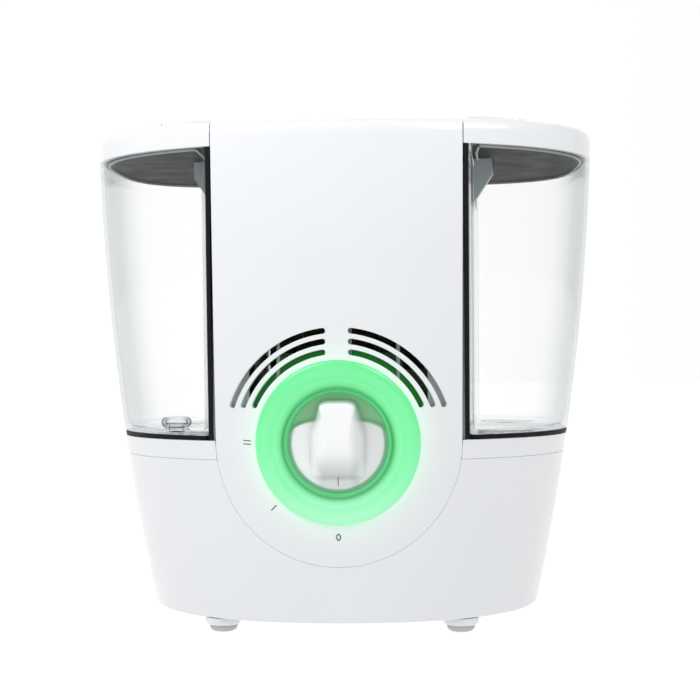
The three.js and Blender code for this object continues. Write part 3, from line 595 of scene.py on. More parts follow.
def add_crease_shade(material, reach, dark):
    """Painted shade: multiplies a material's colour by dark deep in its inner corners, where shade falls,
    over reach millimetres.
    """
    tree = material.node_tree
    corner = tree.nodes.new("ShaderNodeAmbientOcclusion")
    corner.inputs["Distance"].default_value = reach * MM
    openness = spread(tree, corner.outputs["AO"], dark, 1.0, 0.35, 0.95)
    tint_colour(tree, tree.nodes["Principled BSDF"], openness)


def clear_plastic(name, edge_tones, floor_tone):
    """Thin clear acrylic: see-through face on, more mirror-like towards its edges, and greyer there by a
    painted tone that stands in for the darker surroundings its edges reflect and bend.
    Level surfaces, such as a tank's floor, keep one faint tone."""
    material = bpy.data.materials.new(name)
    material.use_nodes = True
    tree = material.node_tree
    tree.nodes.clear()
    coords = object_coords(tree)
    weight = tree.nodes.new("ShaderNodeLayerWeight")
    weight.inputs["Blend"].default_value = 0.5
    facing = weight.outputs["Facing"]
    upward = component(tree, tree.nodes.new("ShaderNodeNewGeometry").outputs["Normal"], "Z")
    level = spread(tree, arithmetic(tree, "ABSOLUTE", upward), 0.0, 1.0, 0.7, 0.95)
    haze = ramp(tree, noise(tree, coords, 30.0, 3.0), [(0.3, scaled(floor_tone, 0.985)), (0.7, floor_tone)])
    clear = tree.nodes.new("ShaderNodeBsdfTransparent")
    tone = blended(tree, ramp(tree, facing, edge_tones), haze, "MIX", level)
    tree.links.new(tone, clear.inputs["Color"])
    gloss = tree.nodes.new("ShaderNodeBsdfGlossy")
    gloss.inputs["Color"].default_value = (0.95, 0.97, 0.98, 1)
    film = noise(tree, coords, 40.0, 4.0)
    tree.links.new(spread(tree, film, 0.02, 0.06), gloss.inputs["Roughness"])
    bump(tree, gloss, noise(tree, coords, 22.0, 1.0), 0.05, RIPPLE)
    edge = arithmetic(tree, "POWER", facing, 5.0)
    mirror = spread(tree, edge, 0.015, 0.8, 0.0, 1.0)
    mirror = arithmetic(tree, "MULTIPLY", mirror, spread(tree, level, 1.0, 1.25, 0.0, 1.0))
    mix = tree.nodes.new("ShaderNodeMixShader")
    tree.links.new(mirror, mix.inputs["Fac"])
    tree.links.new(clear.outputs["BSDF"], mix.inputs[1])
    tree.links.new(gloss.outputs["BSDF"], mix.inputs[2])
    out = tree.nodes.new("ShaderNodeOutputMaterial")
    tree.links.new(mix.outputs["Shader"], out.inputs["Surface"])
    return material


def lit_plastic(name):
    """The translucent dial ring with lamps behind it: brightest low down, with painted shade on its inner
    slope and a soft painted lighter step near its middle.
    """
    material, tree, shader = node_material(name)
    coords = object_coords(tree)
    low, high = (DIAL_Z - RING_OUTER) * MM, (DIAL_Z + RING_OUTER) * MM
    height = spread(tree, component(tree, coords, "Z"), 0.0, 1.0, low, high)
    glow = ramp(tree, height, [
        (0.0, (0.53, 0.83, 0.67)), (0.25, (0.3, 0.78, 0.45)), (0.5, (0.19, 0.75, 0.32)),
        (1.0, (0.13, 0.69, 0.23)),
    ])
    # Painted shade darkens the inner slope down to the knob's well, and a painted lighter band runs near the
    # middle.
    across = spread(tree, radius_from_dial(tree), 0.0, 1.0, RING_INNER * MM, RING_OUTER * MM)
    shade = ramp(tree, across, [
        (0.0, (0.36, 0.56, 0.4)), (0.07, (0.5, 0.66, 0.53)), (0.18, (0.88, 0.92, 0.88)),
        (0.33, (1.06, 1.02, 1.04)), (0.4, (0.95, 0.98, 0.96)), (0.7, (1, 1, 1)), (1.0, (0.94, 0.96, 0.94)),
    ])
    tree.links.new(blended(tree, glow, shade), shader.inputs["Emission Color"])
    shader.inputs["Emission Strength"].default_value = 0.62
    mottle = noise(tree, coords, 30.0, 3.0)
    tint = ramp(tree, mottle, [(0.3, (0.075, 0.42, 0.17)), (0.7, (0.085, 0.45, 0.19))])
    tree.links.new(blended(tree, tint, shade), shader.inputs["Base Color"])
    tree.links.new(spread(tree, noise(tree, coords, 60.0, 4.0), 0.16, 0.24), shader.inputs["Roughness"])
    shader.inputs["Coat Weight"].default_value = 0.3
    shader.inputs["Coat Roughness"].default_value = 0.05
    bump(tree, shader, noise(tree, coords, 700.0, 2.0), 0.1, FINE_GRAIN)
    return material


def stretched(tree, coords, along_z):
    """Coordinates whose noise runs in streaks along or across Z."""
    node = tree.nodes.new("ShaderNodeMapping")
    node.inputs["Scale"].default_value = (1, 1, along_z)
    tree.links.new(coords, node.inputs["Vector"])
    return node.outputs["Vector"]


def brushed_steel(name):
    material, tree, shader = node_material(name)
    streak = noise(tree, stretched(tree, object_coords(tree), 14), 260.0, 4.0)
    tint = ramp(tree, streak, [(0.3, (0.52, 0.54, 0.56)), (0.7, (0.7, 0.72, 0.74))])
    tree.links.new(tint, shader.inputs["Base Color"])
    tree.links.new(spread(tree, streak, 0.22, 0.4), shader.inputs["Roughness"])
    shader.inputs["Metallic"].default_value = 1.0
    bump(tree, shader, streak, 0.2, FINE_GRAIN)
    return material


def fibrous(name):
    """Pressed paper fibre, mottled, with coarse fibres standing in its surface."""
    material, tree, shader = node_material(name)
    coords = object_coords(tree)
    fibre = noise(tree, stretched(tree, coords, 0.22), 900.0, 6.0, 0.7)
    stain = noise(tree, coords, 14.0, 4.0)
    light = ramp(tree, fibre, [(0.3, (0.52, 0.49, 0.41)), (0.7, (0.83, 0.81, 0.74))])
    tide = ramp(tree, stain, [(0.35, (0.93, 0.9, 0.82)), (0.65, (1, 1, 1))])
    tree.links.new(blended(tree, light, tide), shader.inputs["Base Color"])
    tree.links.new(spread(tree, fibre, 0.85, 1.0), shader.inputs["Roughness"])
    shader.inputs["Sheen Weight"].default_value = 0.3
    bump(tree, shader, fibre, 0.8, FIBRE_HEIGHT)
    return material


def circuit_board(name):
    """Green solder mask with copper tracks showing faintly through it."""
    material, tree, shader = node_material(name)
    coords = object_coords(tree)
    cells = tree.nodes.new("ShaderNodeTexVoronoi")
    cells.distance = "CHEBYCHEV"
    cells.inputs["Scale"].default_value = 160.0
    tree.links.new(coords, cells.inputs["Vector"])
    edge = cells.outputs["Distance"]
    tint = ramp(tree, edge, [(0.0, (0.05, 0.2, 0.1)), (0.44, (0.04, 0.17, 0.085)), (0.5, (0.09, 0.3, 0.15))])
    tree.links.new(tint, shader.inputs["Base Color"])
    tree.links.new(spread(tree, edge, 0.3, 0.5), shader.inputs["Roughness"])
    bump(tree, shader, edge, 0.3, TRACK_HEIGHT)
    return material


mats = {
    "white": moulded("white_gloss", WHITE, 0.2, vary=0.008, strength=0.05, coat=0.35),
    "panel": moulded("white_panel", WHITE, 0.2, vary=0.008, strength=0.05, coat=0.35),
    "knob": moulded("white_knob", (0.84, 0.845, 0.86), 0.22, vary=0.008, strength=0.05, coat=0.3),
    "column": moulded("white_column", WHITE, 0.25, vary=0.008, strength=0.05),
    # The well's dark green is painted shade and painted green light in the groove round the knob.
    "well": moulded("well_painted_green_light_and_shade", (0.06, 0.2, 0.1), 0.4, vary=0.01, strength=0.06, specular=0.2),
    "guide": moulded("green_light_guide", (0.012, 0.05, 0.02), 0.35, vary=0.1, strength=0.1, specular=0.2),
    "glow": lit_plastic("lit_ring"),
    "clear": clear_plastic("clear_plastic", [
        (0.0, (0.995, 0.996, 0.996)), (0.4, (0.985, 0.987, 0.987)), (0.65, (0.94, 0.945, 0.945)),
        (0.85, (0.86, 0.87, 0.87)), (1.0, (0.78, 0.79, 0.795)),
    ], (0.97, 0.972, 0.972)),
    "thick_clear": clear_plastic("thick_clear_plastic", [
        (0.0, (0.99, 0.99, 0.99)), (0.35, (0.95, 0.955, 0.96)), (0.6, (0.55, 0.57, 0.58)),
        (1.0, (0.2, 0.22, 0.23)),
    ], (0.97, 0.97, 0.97)),
    # Black rubber for the seals. On the edge strips the same black is painted shade.
    "seal": moulded("black_rubber_and_painted_shade", (0.006, 0.006, 0.0065), 0.5, vary=0.2, grain=1500.0, strength=0.35,
                    wear=0.02, specular=0.12),
    "liner": moulded("grey_liner", (0.024, 0.0235, 0.024), 0.55, vary=0.1, strength=0.25, wear=0.1,
                     specular=0.08),
    "gasket": moulded("pale_rubber", (0.43, 0.46, 0.45), 0.6, vary=0.05, grain=1300.0, strength=0.3),
    "grip": moulded("grey_grip", (0.3, 0.34, 0.35), 0.38, vary=0.04, grain=1400.0, strength=0.4, wear=0.1),
    "guard": moulded("grey_guard", (0.55, 0.55, 0.57), 0.4, vary=0.04, strength=0.2),
    "dark": moulded("dark_plastic", (0.022, 0.024, 0.026), 0.45, vary=0.1, grain=1200.0, strength=0.4,
                    wear=0.3),
    "pad": moulded("pale_pad", (0.48, 0.47, 0.48), 0.8, vary=0.06, grain=1600.0, strength=0.5),
    "board": circuit_board("circuit_board"),
    "wick": fibrous("paper_wick"),
    "steel": brushed_steel("brushed_steel"),
    "mark": moulded("dial_ink", (0.045, 0.14, 0.07), 0.5, vary=0.1, grain=2500.0, strength=0.2),
}
# Painted light: the green glow on the panel round the ring, in the knob's well and round the knob's rim
# stands in for light from the dial's lamps.
add_halo(mats["panel"], [(45, 1.0), (47.5, 0.62), (51, 0.3), (58, 0.08), (66, 0.0)], (0.25, 0.9, 0.42), 0.32)
add_halo(mats["well"], [(20, 0.8), (27, 1.0), (29.7, 1.0)], (0.06, 0.37, 0.135), 1.0)
add_halo(mats["guide"], [(46.6, 1.0), (50, 0.9), (54, 0.5)], (0.04, 0.9, 0.08), 0.12)
add_halo(mats["knob"], [(0, 0.0), (10, 0.0), (18, 0.08), (24, 0.25), (27.4, 0.7)], (0.3, 0.9, 0.45), 0.16)
add_depth_glow(mats["knob"], [(-98.4, 0.0), (-97.2, 0.3), (-95.6, 1.0), (-94.4, 1.0)], (0.25, 0.9, 0.3),
               (0.3, 0.52, 0.33))
# Painted shade in the knob's creases, at the feet of its grip bar and wings.
add_crease_shade(mats["knob"], 15.0, 0.42)
# The grip bar's lower face and its right flank stand in the shade.
shade_where(mats["knob"], 0.66, ("Z", False, (DIAL_Z - 18.0, 0.0), (DIAL_Z - 6.0, 1.0)),
            ("X", True, (8.0, 0.0), (13.0, 1.0)), ("Y", False, (-98.8, 0.0), (-98.2, 1.0)))
shade_where(mats["knob"], 0.84, ("X", False, (6.5, 1.0), (10.5, 0.0)),
            ("Y", False, (-98.4, 0.0), (-97.6, 1.0)))
# Painted shade: the guard is darkened between its middle and its ends, and the column inside its dry pocket,
# so the openings in front of them read dark.
shade_where(mats["guard"], 0.02, ("X", True, (34.7, 1.0), (37.0, 0.0)), ("X", True, (49.4, 0.0), (50.6, 1.0)))
shade_where(mats["column"], 0.02, ("Y", False, (-62.0, 0.0), (-58.0, 1.0)),
            ("X", True, (69.0, 0.0), (70.2, 1.0)))
whiten_above(mats["grip"], 288.0, 290.0)


# ------------------------------------------------------------------ base

def base_tub():
    """The belt of the base, open where the round end of the panel dips into it, with a rounded foot edge."""
    half = math.pi * TUB_SCALE
    mouth = PANEL_RADIUS + HAIR
    rim = BASE_TOP + GAP

    def place(s, q):
        turn = min(max((FOOT_Z + FOOT_EDGE - q) / FOOT_EDGE, 0.0), 1.0)
        inset = FOOT_EDGE * (1 - math.sqrt(1 - turn**2))
        return *outline_at(s / TUB_SCALE - math.pi / 2, q, inset), q

    def spot(x, z):
        return (math.atan2(front_y(x, z), x) + math.pi / 2) * TUB_SCALE, z

    start = math.asin((rim - DIAL_Z) / mouth)
    turns = steps(start, -math.pi - start, 150)
    arc = [spot(mouth * math.cos(a), DIAL_Z + mouth * math.sin(a)) for a in turns]
    up = along([(half, BAND_TOP), (half, rim)], 5.0)[:-1]
    right = along([(half, rim), arc[0]], 2.5)[:-1]
    left = along([arc[-1], (-half, rim)], 2.5)
    down = [(-half, q) for _, q in reversed(up)]
    bottom = along([(-half, BAND_TOP), (half, BAND_TOP)], 3.0)
    flat, tris = fill(up + right + arc + left[1:] + down + bottom[1:-1], [], 4.0)
    levels = [FOOT_Z + FOOT_EDGE * (1 - math.cos(t)) for t in steps(0, math.pi / 2, 6)]
    levels += [12.0, 14.0, BAND_TOP]
    band = [place(s, q) for q in levels for s, _ in bottom], grid_faces(len(levels), len(bottom))
    verts, tris = join(([place(s, q) for s, q in flat], tris), band)
    obj = put("base_tub_skin", verts, tris, mats["white"], "base", ["base_tub"],
              facing=lambda c: Vector((c.x, c.y, 0)))
    thicken(obj, WALL)
    soften(obj, 0.18)

    floor = [outline_at(2 * math.pi * i / 160, FOOT_Z, WALL + 0.4) for i in range(160)]
    verts, faces = plate(floor, [], FOOT_Z + 0.3, FOOT_Z + WALL, 12.0)
    obj = put("base_floor", verts, faces, mats["white"], "base")
    soften(obj, 0.3)


def deck_outline():
    """The tray's plan edge, stepped back where the front panel stands."""
    edge = PANEL_RADIUS + GAP
    start = math.atan2(front_y(edge, DECK_TOP), edge)
    arc = [outline_at(phi, DECK_TOP) for phi in steps(start, math.pi - start, 300)]
    corner = [(-edge, PANEL_BACK_Y), (edge, PANEL_BACK_Y)]
    return arc + along([arc[-1], *corner, arc[0]], 3.0)[1:-1]


def tray():
    wick_mouth = rounded_box(*WICK_MOUTH, 4)
    wells = [circle(k * NECK[0], NECK[1], WELL_MOUTH) for k in (-1, 1)]
    guide = circle(-FLOAT_SPOT[0], FLOAT_SPOT[1], FLOAT_MOUTH, 32)

    def lower(x, y):
        depth = front_depth if y < 0 else back_depth
        return x * half_width(DECK_BOTTOM) / half_width(DECK_TOP), y * depth(DECK_BOTTOM) / depth(DECK_TOP)

    verts, faces = plate(deck_outline(), [wick_mouth, *wells, guide], DECK_BOTTOM, DECK_TOP, 5.0, lower)
    obj = put("water_tray_deck", verts, faces, mats["white"], "base", ["water_tray"])
    soften(obj, 0.35)


def feet():
    """The feet and their pads, turned, with tapered lower edges."""
    kinds = (("foot", "white", [(1.4, 0), (0.5, 1.1), (0, 2.6)]),
             ("foot_pad", "pad", [(2.4, 0), (0.9, 0.8), (0, 2.2)]))
    for corner in ("front_left", "front_right", "rear_left", "rear_right"):
        low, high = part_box(f"foot_{corner}")
        centre = (low.x + high.x) / 2 / MM, (low.y + high.y) / 2 / MM, 0
        for kind, look, taper in kinds:
            low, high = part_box(f"{kind}_{corner}")
            r, z0, z1 = (high.x - low.x) / 2 / MM, low.z / MM, high.z / MM
            side = [(r - inward, z0 + up) for inward, up in taper]
            verts, faces = lathe([(1e-3, z0), *side, (r, z1), (1e-3, z1)], 64, centre)
            obj = put(f"{kind}_{corner}_turned", verts, faces, mats[look], "base", [f"{kind}_{corner}"])
            soften(obj, 0.2, 2)


def gland():
    low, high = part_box("cord_gland")
    x, z, y = (low.x + high.x) / 2 / MM, (low.z + high.z) / 2 / MM, low.y / MM
    flare = [(3.2, 0), (6, 0), (6, 6.4), (8.2, 6.4), (8.5, 6.8), (8.4, 8.0), (7.5, 9.3), (7.0, 9.6),
             (4.0, 9.6), (3.2, 9.0)]
    verts, faces = lathe(flare, 64, (x, y, z), "+Y")
    obj = put("cord_gland_turned", verts, faces, mats["dark"], "base", ["cord_gland"])
    soften(obj, 0.2, 2)


# ------------------------------------------------------------------ front panel and dial

def panel_half(z):
    return PANEL_RADIUS + max(z - DIAL_Z, 0) * PANEL_SPREAD


def panel_place(x, q):
    """The panel's face from a distance q up it: the side, round the top edge, then back over the top."""
    if q <= SIDE_Q:
        return x, front_y(x, q), q
    y = front_y(x, RIM_Z)
    if q <= FILLET_Q:
        high = top_z(y) - EDGE_RADIUS
        z = SIDE_Q + (high - SIDE_Q) * (q - SIDE_Q) / (FILLET_Q - SIDE_Q)
        return x, front_y(x, z), z
    theta = min((q - FILLET_Q) / EDGE_RADIUS, math.pi / 2)
    inward, drop = fillet(theta)
    y = front_y(x, RIM_Z, inward) + max(q - TOP_Q, 0)
    return x, y, top_z(y) - drop


def slot_loop(radius, side):
    half = SLOT_HALF
    low = math.asin((SLOT_LOW + half) / radius)
    high = math.acos((SLOT_GAP + half) / radius)

    def arc(cx, cz, r, a, b, n):
        return [(cx + r * math.cos(t), cz + r * math.sin(t)) for t in steps(a, b, n)]

    top = (radius * math.cos(high), DIAL_Z + radius * math.sin(high))
    foot = (radius * math.cos(low), DIAL_Z + radius * math.sin(low))
    loop = arc(0, DIAL_Z, radius + half, low, high, 44)
    loop += arc(*top, half, high, high + math.pi, 10)[1:-1]
    loop += arc(0, DIAL_Z, radius - half, high, low, 44)
    loop += arc(*foot, half, low + math.pi, low + 2 * math.pi, 10)[1:-1]
    return [(side * x, z) for x, z in loop]


def front_panel():
    arc = [(PANEL_RADIUS * math.cos(a), DIAL_Z + PANEL_RADIUS * math.sin(a)) for a in steps(-math.pi, 0, 170)]
    rise = along([(0, DIAL_Z), (0, SIDE_Q), (0, FILLET_Q)], 3.0)
    rise += [(0, FILLET_Q + EDGE_RADIUS * t) for t in steps(0, math.pi / 2, 8)[1:]]
    edge_x = panel_half(CROWN_Z)
    end_q = TOP_Q + PANEL_BACK_Y - front_y(edge_x, RIM_Z, EDGE_RADIUS)
    rise += along([(0, TOP_Q), (0, end_q)], 2.5)[1:]
    right = [(panel_half(min(q, CROWN_Z)), q) for _, q in rise[1:]]
    rim = []
    for x in steps(edge_x, -edge_x, 56)[1:-1]:
        rim.append((x, TOP_Q + PANEL_BACK_Y - front_y(x, RIM_Z, EDGE_RADIUS)))
    left = [(-x, q) for x, q in reversed(right)]
    outline = arc + right + rim + left
    holes = [circle(0, DIAL_Z, RING_OUTER + HAIR, 200)]
    holes += [slot_loop(r, k) for r in SLOT_RADII for k in (-1, 1)]
    flat, tris = fill(outline, holes, 3.2)
    verts = [panel_place(x, q) for x, q in flat]
    obj = put("front_panel_skin", verts, tris, mats["panel"], "base", ["front_panel"],
              facing=lambda c: Vector((0, -1, 0.6)))
    thicken(obj, WALL)
    soften(obj, 0.2)


def light_ring():
    """A softly domed annulus that follows the panel's curve, with a step down to the knob's well."""
    proud = [(46.0, -6.0), (46.0, 0.2), (45.8, 1.0), (45.2, 1.7), (44.2, 2.15), (42.6, 2.4), (40.5, 2.45),
             (38.6, 2.3), (37.2, 1.95), (36.0, 1.5), (34.6, 1.05), (33.2, 0.6), (32.0, 0.1), (31.0, -0.7),
             (30.3, -1.8), (30.0, -3.2), (30.0, -8.0)]
    count = 200
    loops = [[(x, front_y(x, z) - height, z) for x, z in circle(0, DIAL_Z, r, count)] for r, height in proud]
    loops += [[(x, RING_BACK_Y, z) for x, z in circle(0, DIAL_Z, r, count)] for r in (RING_INNER, RING_OUTER)]
    verts, faces = loop_stack(loops, wrap=True)
    obj = put("light_ring_domed", verts, faces, mats["glow"], "base", ["light_ring"])
    soften(obj, 0.2, 2, 60)


def knob_well():
    r = RING_INNER - GAP
    edge = RING_INNER - HAIR
    profile = [(4, 0), (r, 0), (r, 7.0), (edge, 7.4), (edge, 11.3), (edge - 0.3, 11.6), (r - 0.9, 11.5),
               (r - 1.35, 10.9), (r - 1.6, 7.6), (r - 1.2, 3.8), (r - 1.2, 2.2), (r - 1.9, 1.5), (4, 1.5)]
    verts, faces = lathe(profile, 128, (0, WELL_BACK_Y, DIAL_Z), "-Y")
    obj = put("knob_well_turned", verts, faces, mats["well"], "base", ["knob_well"])
    soften(obj, 0.1, 2)


def smooth(low, high, value):
    t = min(max((value - low) / (high - low), 0.0), 1.0)
    return t * t * (3 - 2 * t)


def knob_height(x, z):
    """How far the knob's face stands in front of its back plane, at x and z from its axis."""
    r = math.hypot(x, z)
    wing = 4.2 - 1.2 * smooth(25.4, 27.8, r)
    shelf = 4.0 + 8.5 * math.sqrt(max(1 - (x / 28) ** 2, 0.0))
    low = wing - (wing - 0.9) * smooth(shelf, shelf + 2.4, z)
    half = 5.9 + 5.0 * (abs(z - 1) / 22) ** 1.5
    foot = 16.2 - 4.6 * smooth(2, 22, z) - 1.0 * smooth(4, 24, -z)
    across = max((abs(x) - half) / max(foot - half, 1.3), 0.0)
    top_line = 21.8 - 2.2 * min(abs(x) / half, 1.2) ** 4
    over = max((z - top_line) / 2.6, 0.0)
    flank = max(1 - (0.5 * across + 0.5 * across * across) - over * over, 0.0)
    face = 12.9 - 0.003 * (z - 8) ** 2
    crest = face - 5.4 * smooth(0.0, 20.0, -z) ** 1.3
    end = 1 - smooth(17.6, 21.2, -z)
    return max(low, low + (crest - low) * flank * end)


def knob():
    rings, count = 90, 240
    verts = [(0, KNOB_BACK - knob_height(0, 0), DIAL_Z)]
    for j in range(1, rings + 1):
        ring = circle(0, 0, KNOB_RADIUS * j / rings, count)
        verts += [(x, KNOB_BACK - knob_height(x, z), DIAL_Z + z) for x, z in ring]
    faces = [(0, 1 + (i + 1) % count, 1 + i) for i in range(count)]
    faces += grid_faces(rings, count, closed=True, start=1)
    edge = 1 + (rings - 1) * count
    back = len(verts)
    verts += [(x, KNOB_BACK, z) for x, z in circle(0, DIAL_Z, KNOB_RADIUS, count)]
    faces += [(edge + i, edge + (i + 1) % count, back + (i + 1) % count, back + i) for i in range(count)]
    faces.append(tuple(back + i for i in range(count)))
    obj = put("knob_grip", verts, faces, mats["knob"], "knob", ["knob"])
    soften(obj, 0.3, 2, 50)

    line = []
    for z in steps(-18.6, -23.8, 8):
        line.append([(x, KNOB_BACK - knob_height(x, z) - 0.06, DIAL_Z + z) for x in (-0.2, 0.2)])
    verts = [p for pair in line for p in pair]
    obj = put("knob_pointer", verts, grid_faces(len(line), 2), mats["mark"], "knob",
              facing=lambda c: Vector((0, -1, 0)))
    thicken(obj, 0.25)


def dial_marks():
    """An 0, one stroke and two strokes round the dial: printed marks a hair thick."""
    def on_panel(x, z):
        return x, front_y(x, z) - 0.09, z

    def stroke(x, z, angle, length, width):
        c, s = math.cos(angle), math.sin(angle)
        rows = []
        for t in steps(-length / 2, length / 2, 4):
            rows += [on_panel(x + t * c - k * width / 2 * s, z + t * s + k * width / 2 * c) for k in (-1, 1)]
        return rows, grid_faces(5, 2)

    count = 40
    zero = []
    for a, b in ((1.35, 1.95), (0.78, 1.4)):
        zero += [on_panel(a * c, DIAL_Z - 52.3 + b * s) for c, s in circle(0, 0, 1, count)]
    pieces = [(zero, grid_faces(2, count, closed=True))]
    turn = math.radians(225)
    low_left = MARK_RADIUS * math.cos(turn), DIAL_Z + MARK_RADIUS * math.sin(turn)
    pieces.append(stroke(*low_left, turn, 4.2, 0.62))
    for k in (-1, 1):
        pieces.append(stroke(-50.9, DIAL_Z + 0.5 + k * 0.95, math.radians(176), 4.3, 0.55))
    verts, faces = join(*pieces)
    obj = put("dial_marks", verts, faces, mats["mark"], "base", facing=lambda c: Vector((0, -1, 0)))
    thicken(obj, 0.15)


# ------------------------------------------------------------------ crowns and top cover

def crown_levels():
    levels = [side_level(z) for z in (COVER_BOTTOM, 278.5, RIM_Z)]
    levels += [top_level(*fillet(math.radians(t))) for t in (0, 12, 25, 38, 52, 65, 78, 90)]
    levels.append(top_level(EDGE_RADIUS + 1.5, 0))
    return levels


def cap_skin(spans, closing, holes):
    """Side, rounded edge and top: rows of points over the given span of directions, then a filled plan."""
    count = 150
    rows = []
    for level in crown_levels():
        first, last = spans(level)
        rows.append([level(phi) for phi in steps(first, last, count)])
    band = [p for row in rows for p in row], grid_faces(len(rows), count + 1)
    inner = [(x, y) for x, y, _z in rows[-1]]
    flat, tris = fill(inner + closing(inner[-1], inner[0]), holes)
    return join(band, ([(x, y, top_z(y)) for x, y in flat], tris))


def crown(side):
    def spans(level):
        return crossing(level, TANK_MARGIN, -math.pi / 2, 0), rear_crossing(level, TANK_MARGIN)

    def closing(start, end):
        return along([start, end], 3.0)[1:-1]

    verts, faces = cap_skin(spans, closing, [column_box(GRIP_X, GRIP_Y, 3.0)])
    verts, faces = mirrored(verts, faces, SIDES[side])
    obj = put(f"tank_{side}_crown_skin", verts, faces, mats["white"], f"tank_{side}",
              [f"tank_{side}_crown"], facing=lambda c: Vector((c.x, c.y, 0.2)))
    thicken(obj, 2.6)
    soften(obj, 0.45)


def top_cover():
    def spans(level):
        right = rear_crossing(level, -GAP)
        return right, math.pi - right

    def closing(start, end):
        front = PANEL_BACK_Y + GAP
        half = column_half(front) - GAP
        return along([start, (-half, front), (half, front), end], 3.0)[1:-1]

    holes = []
    for i in range(-5, 6):
        y = i * VENT_PITCH
        half = math.sqrt(VENT_RADIUS**2 - y * y)
        for x0, x1 in ((-half, -2.0), (2.0, half)):
            holes.append(rounded_box(x0, x1, VENT_Y + y - 2.5, VENT_Y + y + 2.5, 1.6, 3))
    verts, faces = cap_skin(spans, closing, holes)
    obj = put("top_cover_skin", verts, faces, mats["white"], "top_cover", ["top_cover"],
              facing=lambda c: Vector((0, c.y, 0.2)))
    thicken(obj, WALL)
    soften(obj, 0.45)


# ------------------------------------------------------------------ tanks

def column_box(across, deep, step):
    """A plan box beside the column, its sides measured outward from the column's slanted line."""
    corners = [(column_half(deep[j]) + across[i], deep[j]) for i, j in ((0, 0), (1, 0), (1, 1), (0, 1))]
    return along([*corners, corners[0]], step)[:-1]


def tank_loop(z, inset, margin, corner=5.0):
    """The plan of the right tank at a height: the outer curve, then the inner side with rounded corners."""
    level = side_level(z, inset)
    inner_x = STRIP_EDGE + margin - TANK_MARGIN

    low, high = -math.pi / 2, 0.0
    for _ in range(40):
        mid = (low + high) / 2
        low, high = (low, mid) if level(mid)[0] > inner_x else (mid, high)
    radius = max(corner - inset, 1.2)
    arc = [level(phi)[:2] for phi in steps((low + high) / 2, rear_crossing(level, margin), 400)]

    def trim(points):
        travelled, kept = 0.0, list(points)
        while travelled < radius and len(kept) > 2:
            travelled += math.dist(kept[0], kept[1])
            kept.pop(0)
        return kept

    front_corner, back_corner = Vector(arc[0]), Vector(arc[-1])
    arc = trim(trim(arc)[::-1])[::-1]
    knee = Vector((inner_x, COLUMN_FRONT_Y + (inner_x - margin - COLUMN_HALF_FRONT) / COLUMN_SPREAD))
    back_start = back_corner + (knee - back_corner).normalized() * radius
    front_start = front_corner + Vector((0, radius))

    def bend(a, c, b):
        return [tuple((1 - t) ** 2 * Vector(a) + 2 * t * (1 - t) * c + t * t * Vector(b))
                for t in steps(0, 1, 8)][1:-1]

    side = [tuple(back_start.lerp(knee, t)) for t in steps(0, 1, 30)]
    side += [tuple(knee.lerp(front_start, t)) for t in steps(0, 1, 8)[1:]]
    outer = resample(arc, 130)
    loop = outer + bend(outer[-1], back_corner, side[0]) + side + bend(side[-1], front_corner, outer[0])
    return [(x, y, z) for x, y in loop]


def resample(points, count):
    """The same line with points at even distances."""
    lengths = [0.0]
    for a, b in zip(points, points[1:]):
        lengths.append(lengths[-1] + math.dist(a, b))
    xs, ys = zip(*points)
    targets = np.linspace(0, lengths[-1], count)
    return list(zip(np.interp(targets, lengths, xs).tolist(), np.interp(targets, lengths, ys).tolist()))


def tank_shell(side):
    """One clear moulding: outer and inner wall, floor, and filler neck."""
    low = SEAL_TOP + GAP
    outer = [tank_loop(low, 0.9, TANK_MARGIN + 0.9), tank_loop(low + 0.35, 0.3, TANK_MARGIN + 0.3)]
    outer += [tank_loop(z, 0, TANK_MARGIN) for z in steps(low + 1.0, WINDOW_TOP - 0.3, 14)]
    outer.append(tank_loop(WINDOW_TOP, 0.3, TANK_MARGIN + 0.3))
    wall = TANK_MARGIN + CLEAR_WALL
    inner = [tank_loop(WINDOW_TOP, CLEAR_WALL - 0.3, wall - 0.3)]
    inner += [tank_loop(z, CLEAR_WALL, wall) for z in steps(WINDOW_TOP - 0.3, low + CLEAR_WALL + 2.5, 14)]
    inner.append(tank_loop(low + CLEAR_WALL + 0.7, CLEAR_WALL + 0.7, wall + 0.7))
    inner.append(tank_loop(low + CLEAR_WALL, CLEAR_WALL + 2.5, wall + 2.5))
    walls = loop_stack(outer + inner)
    bore = NECK_RADIUS - 2.5
    float_hole = [circle(*FLOAT_SPOT, FLOAT_HOLE)] if side == "left" else []
    flat, tris = fill([p[:2] for p in outer[0]], [circle(*NECK, NECK_RADIUS), *float_hole], 9.0)
    under = [(x, y, low) for x, y in flat], tris
    flat, tris = fill([p[:2] for p in inner[-1]], [circle(*NECK, bore), *float_hole], 9.0)
    over = [(x, y, low + CLEAR_WALL) for x, y in flat], tris
    profile = [(NECK_RADIUS, low), (NECK_RADIUS, NECK_BOTTOM + 0.4), (NECK_RADIUS - 0.4, NECK_BOTTOM),
               (bore + 0.4, NECK_BOTTOM), (bore, NECK_BOTTOM + 0.4), (bore, low + CLEAR_WALL)]
    loops = [[(x, y, h) for x, y in circle(*NECK, r)] for r, h in profile]
    sleeves = []
    for hole in float_hole:
        sleeves.append(loop_stack([[(x, y, h) for x, y in hole] for h in (low, low + CLEAR_WALL)]))
    verts, faces = join(walls, under, over, loop_stack(loops), *sleeves)
    verts, faces = mirrored(verts, faces, SIDES[side])
    obj = put(f"tank_{side}_clear", verts, faces, mats["clear"], f"tank_{side}",
              [f"tank_{side}_shell", f"tank_{side}_floor"])
    normal = obj.modifiers.new("normals", "WEIGHTED_NORMAL")
    normal.keep_sharp = True


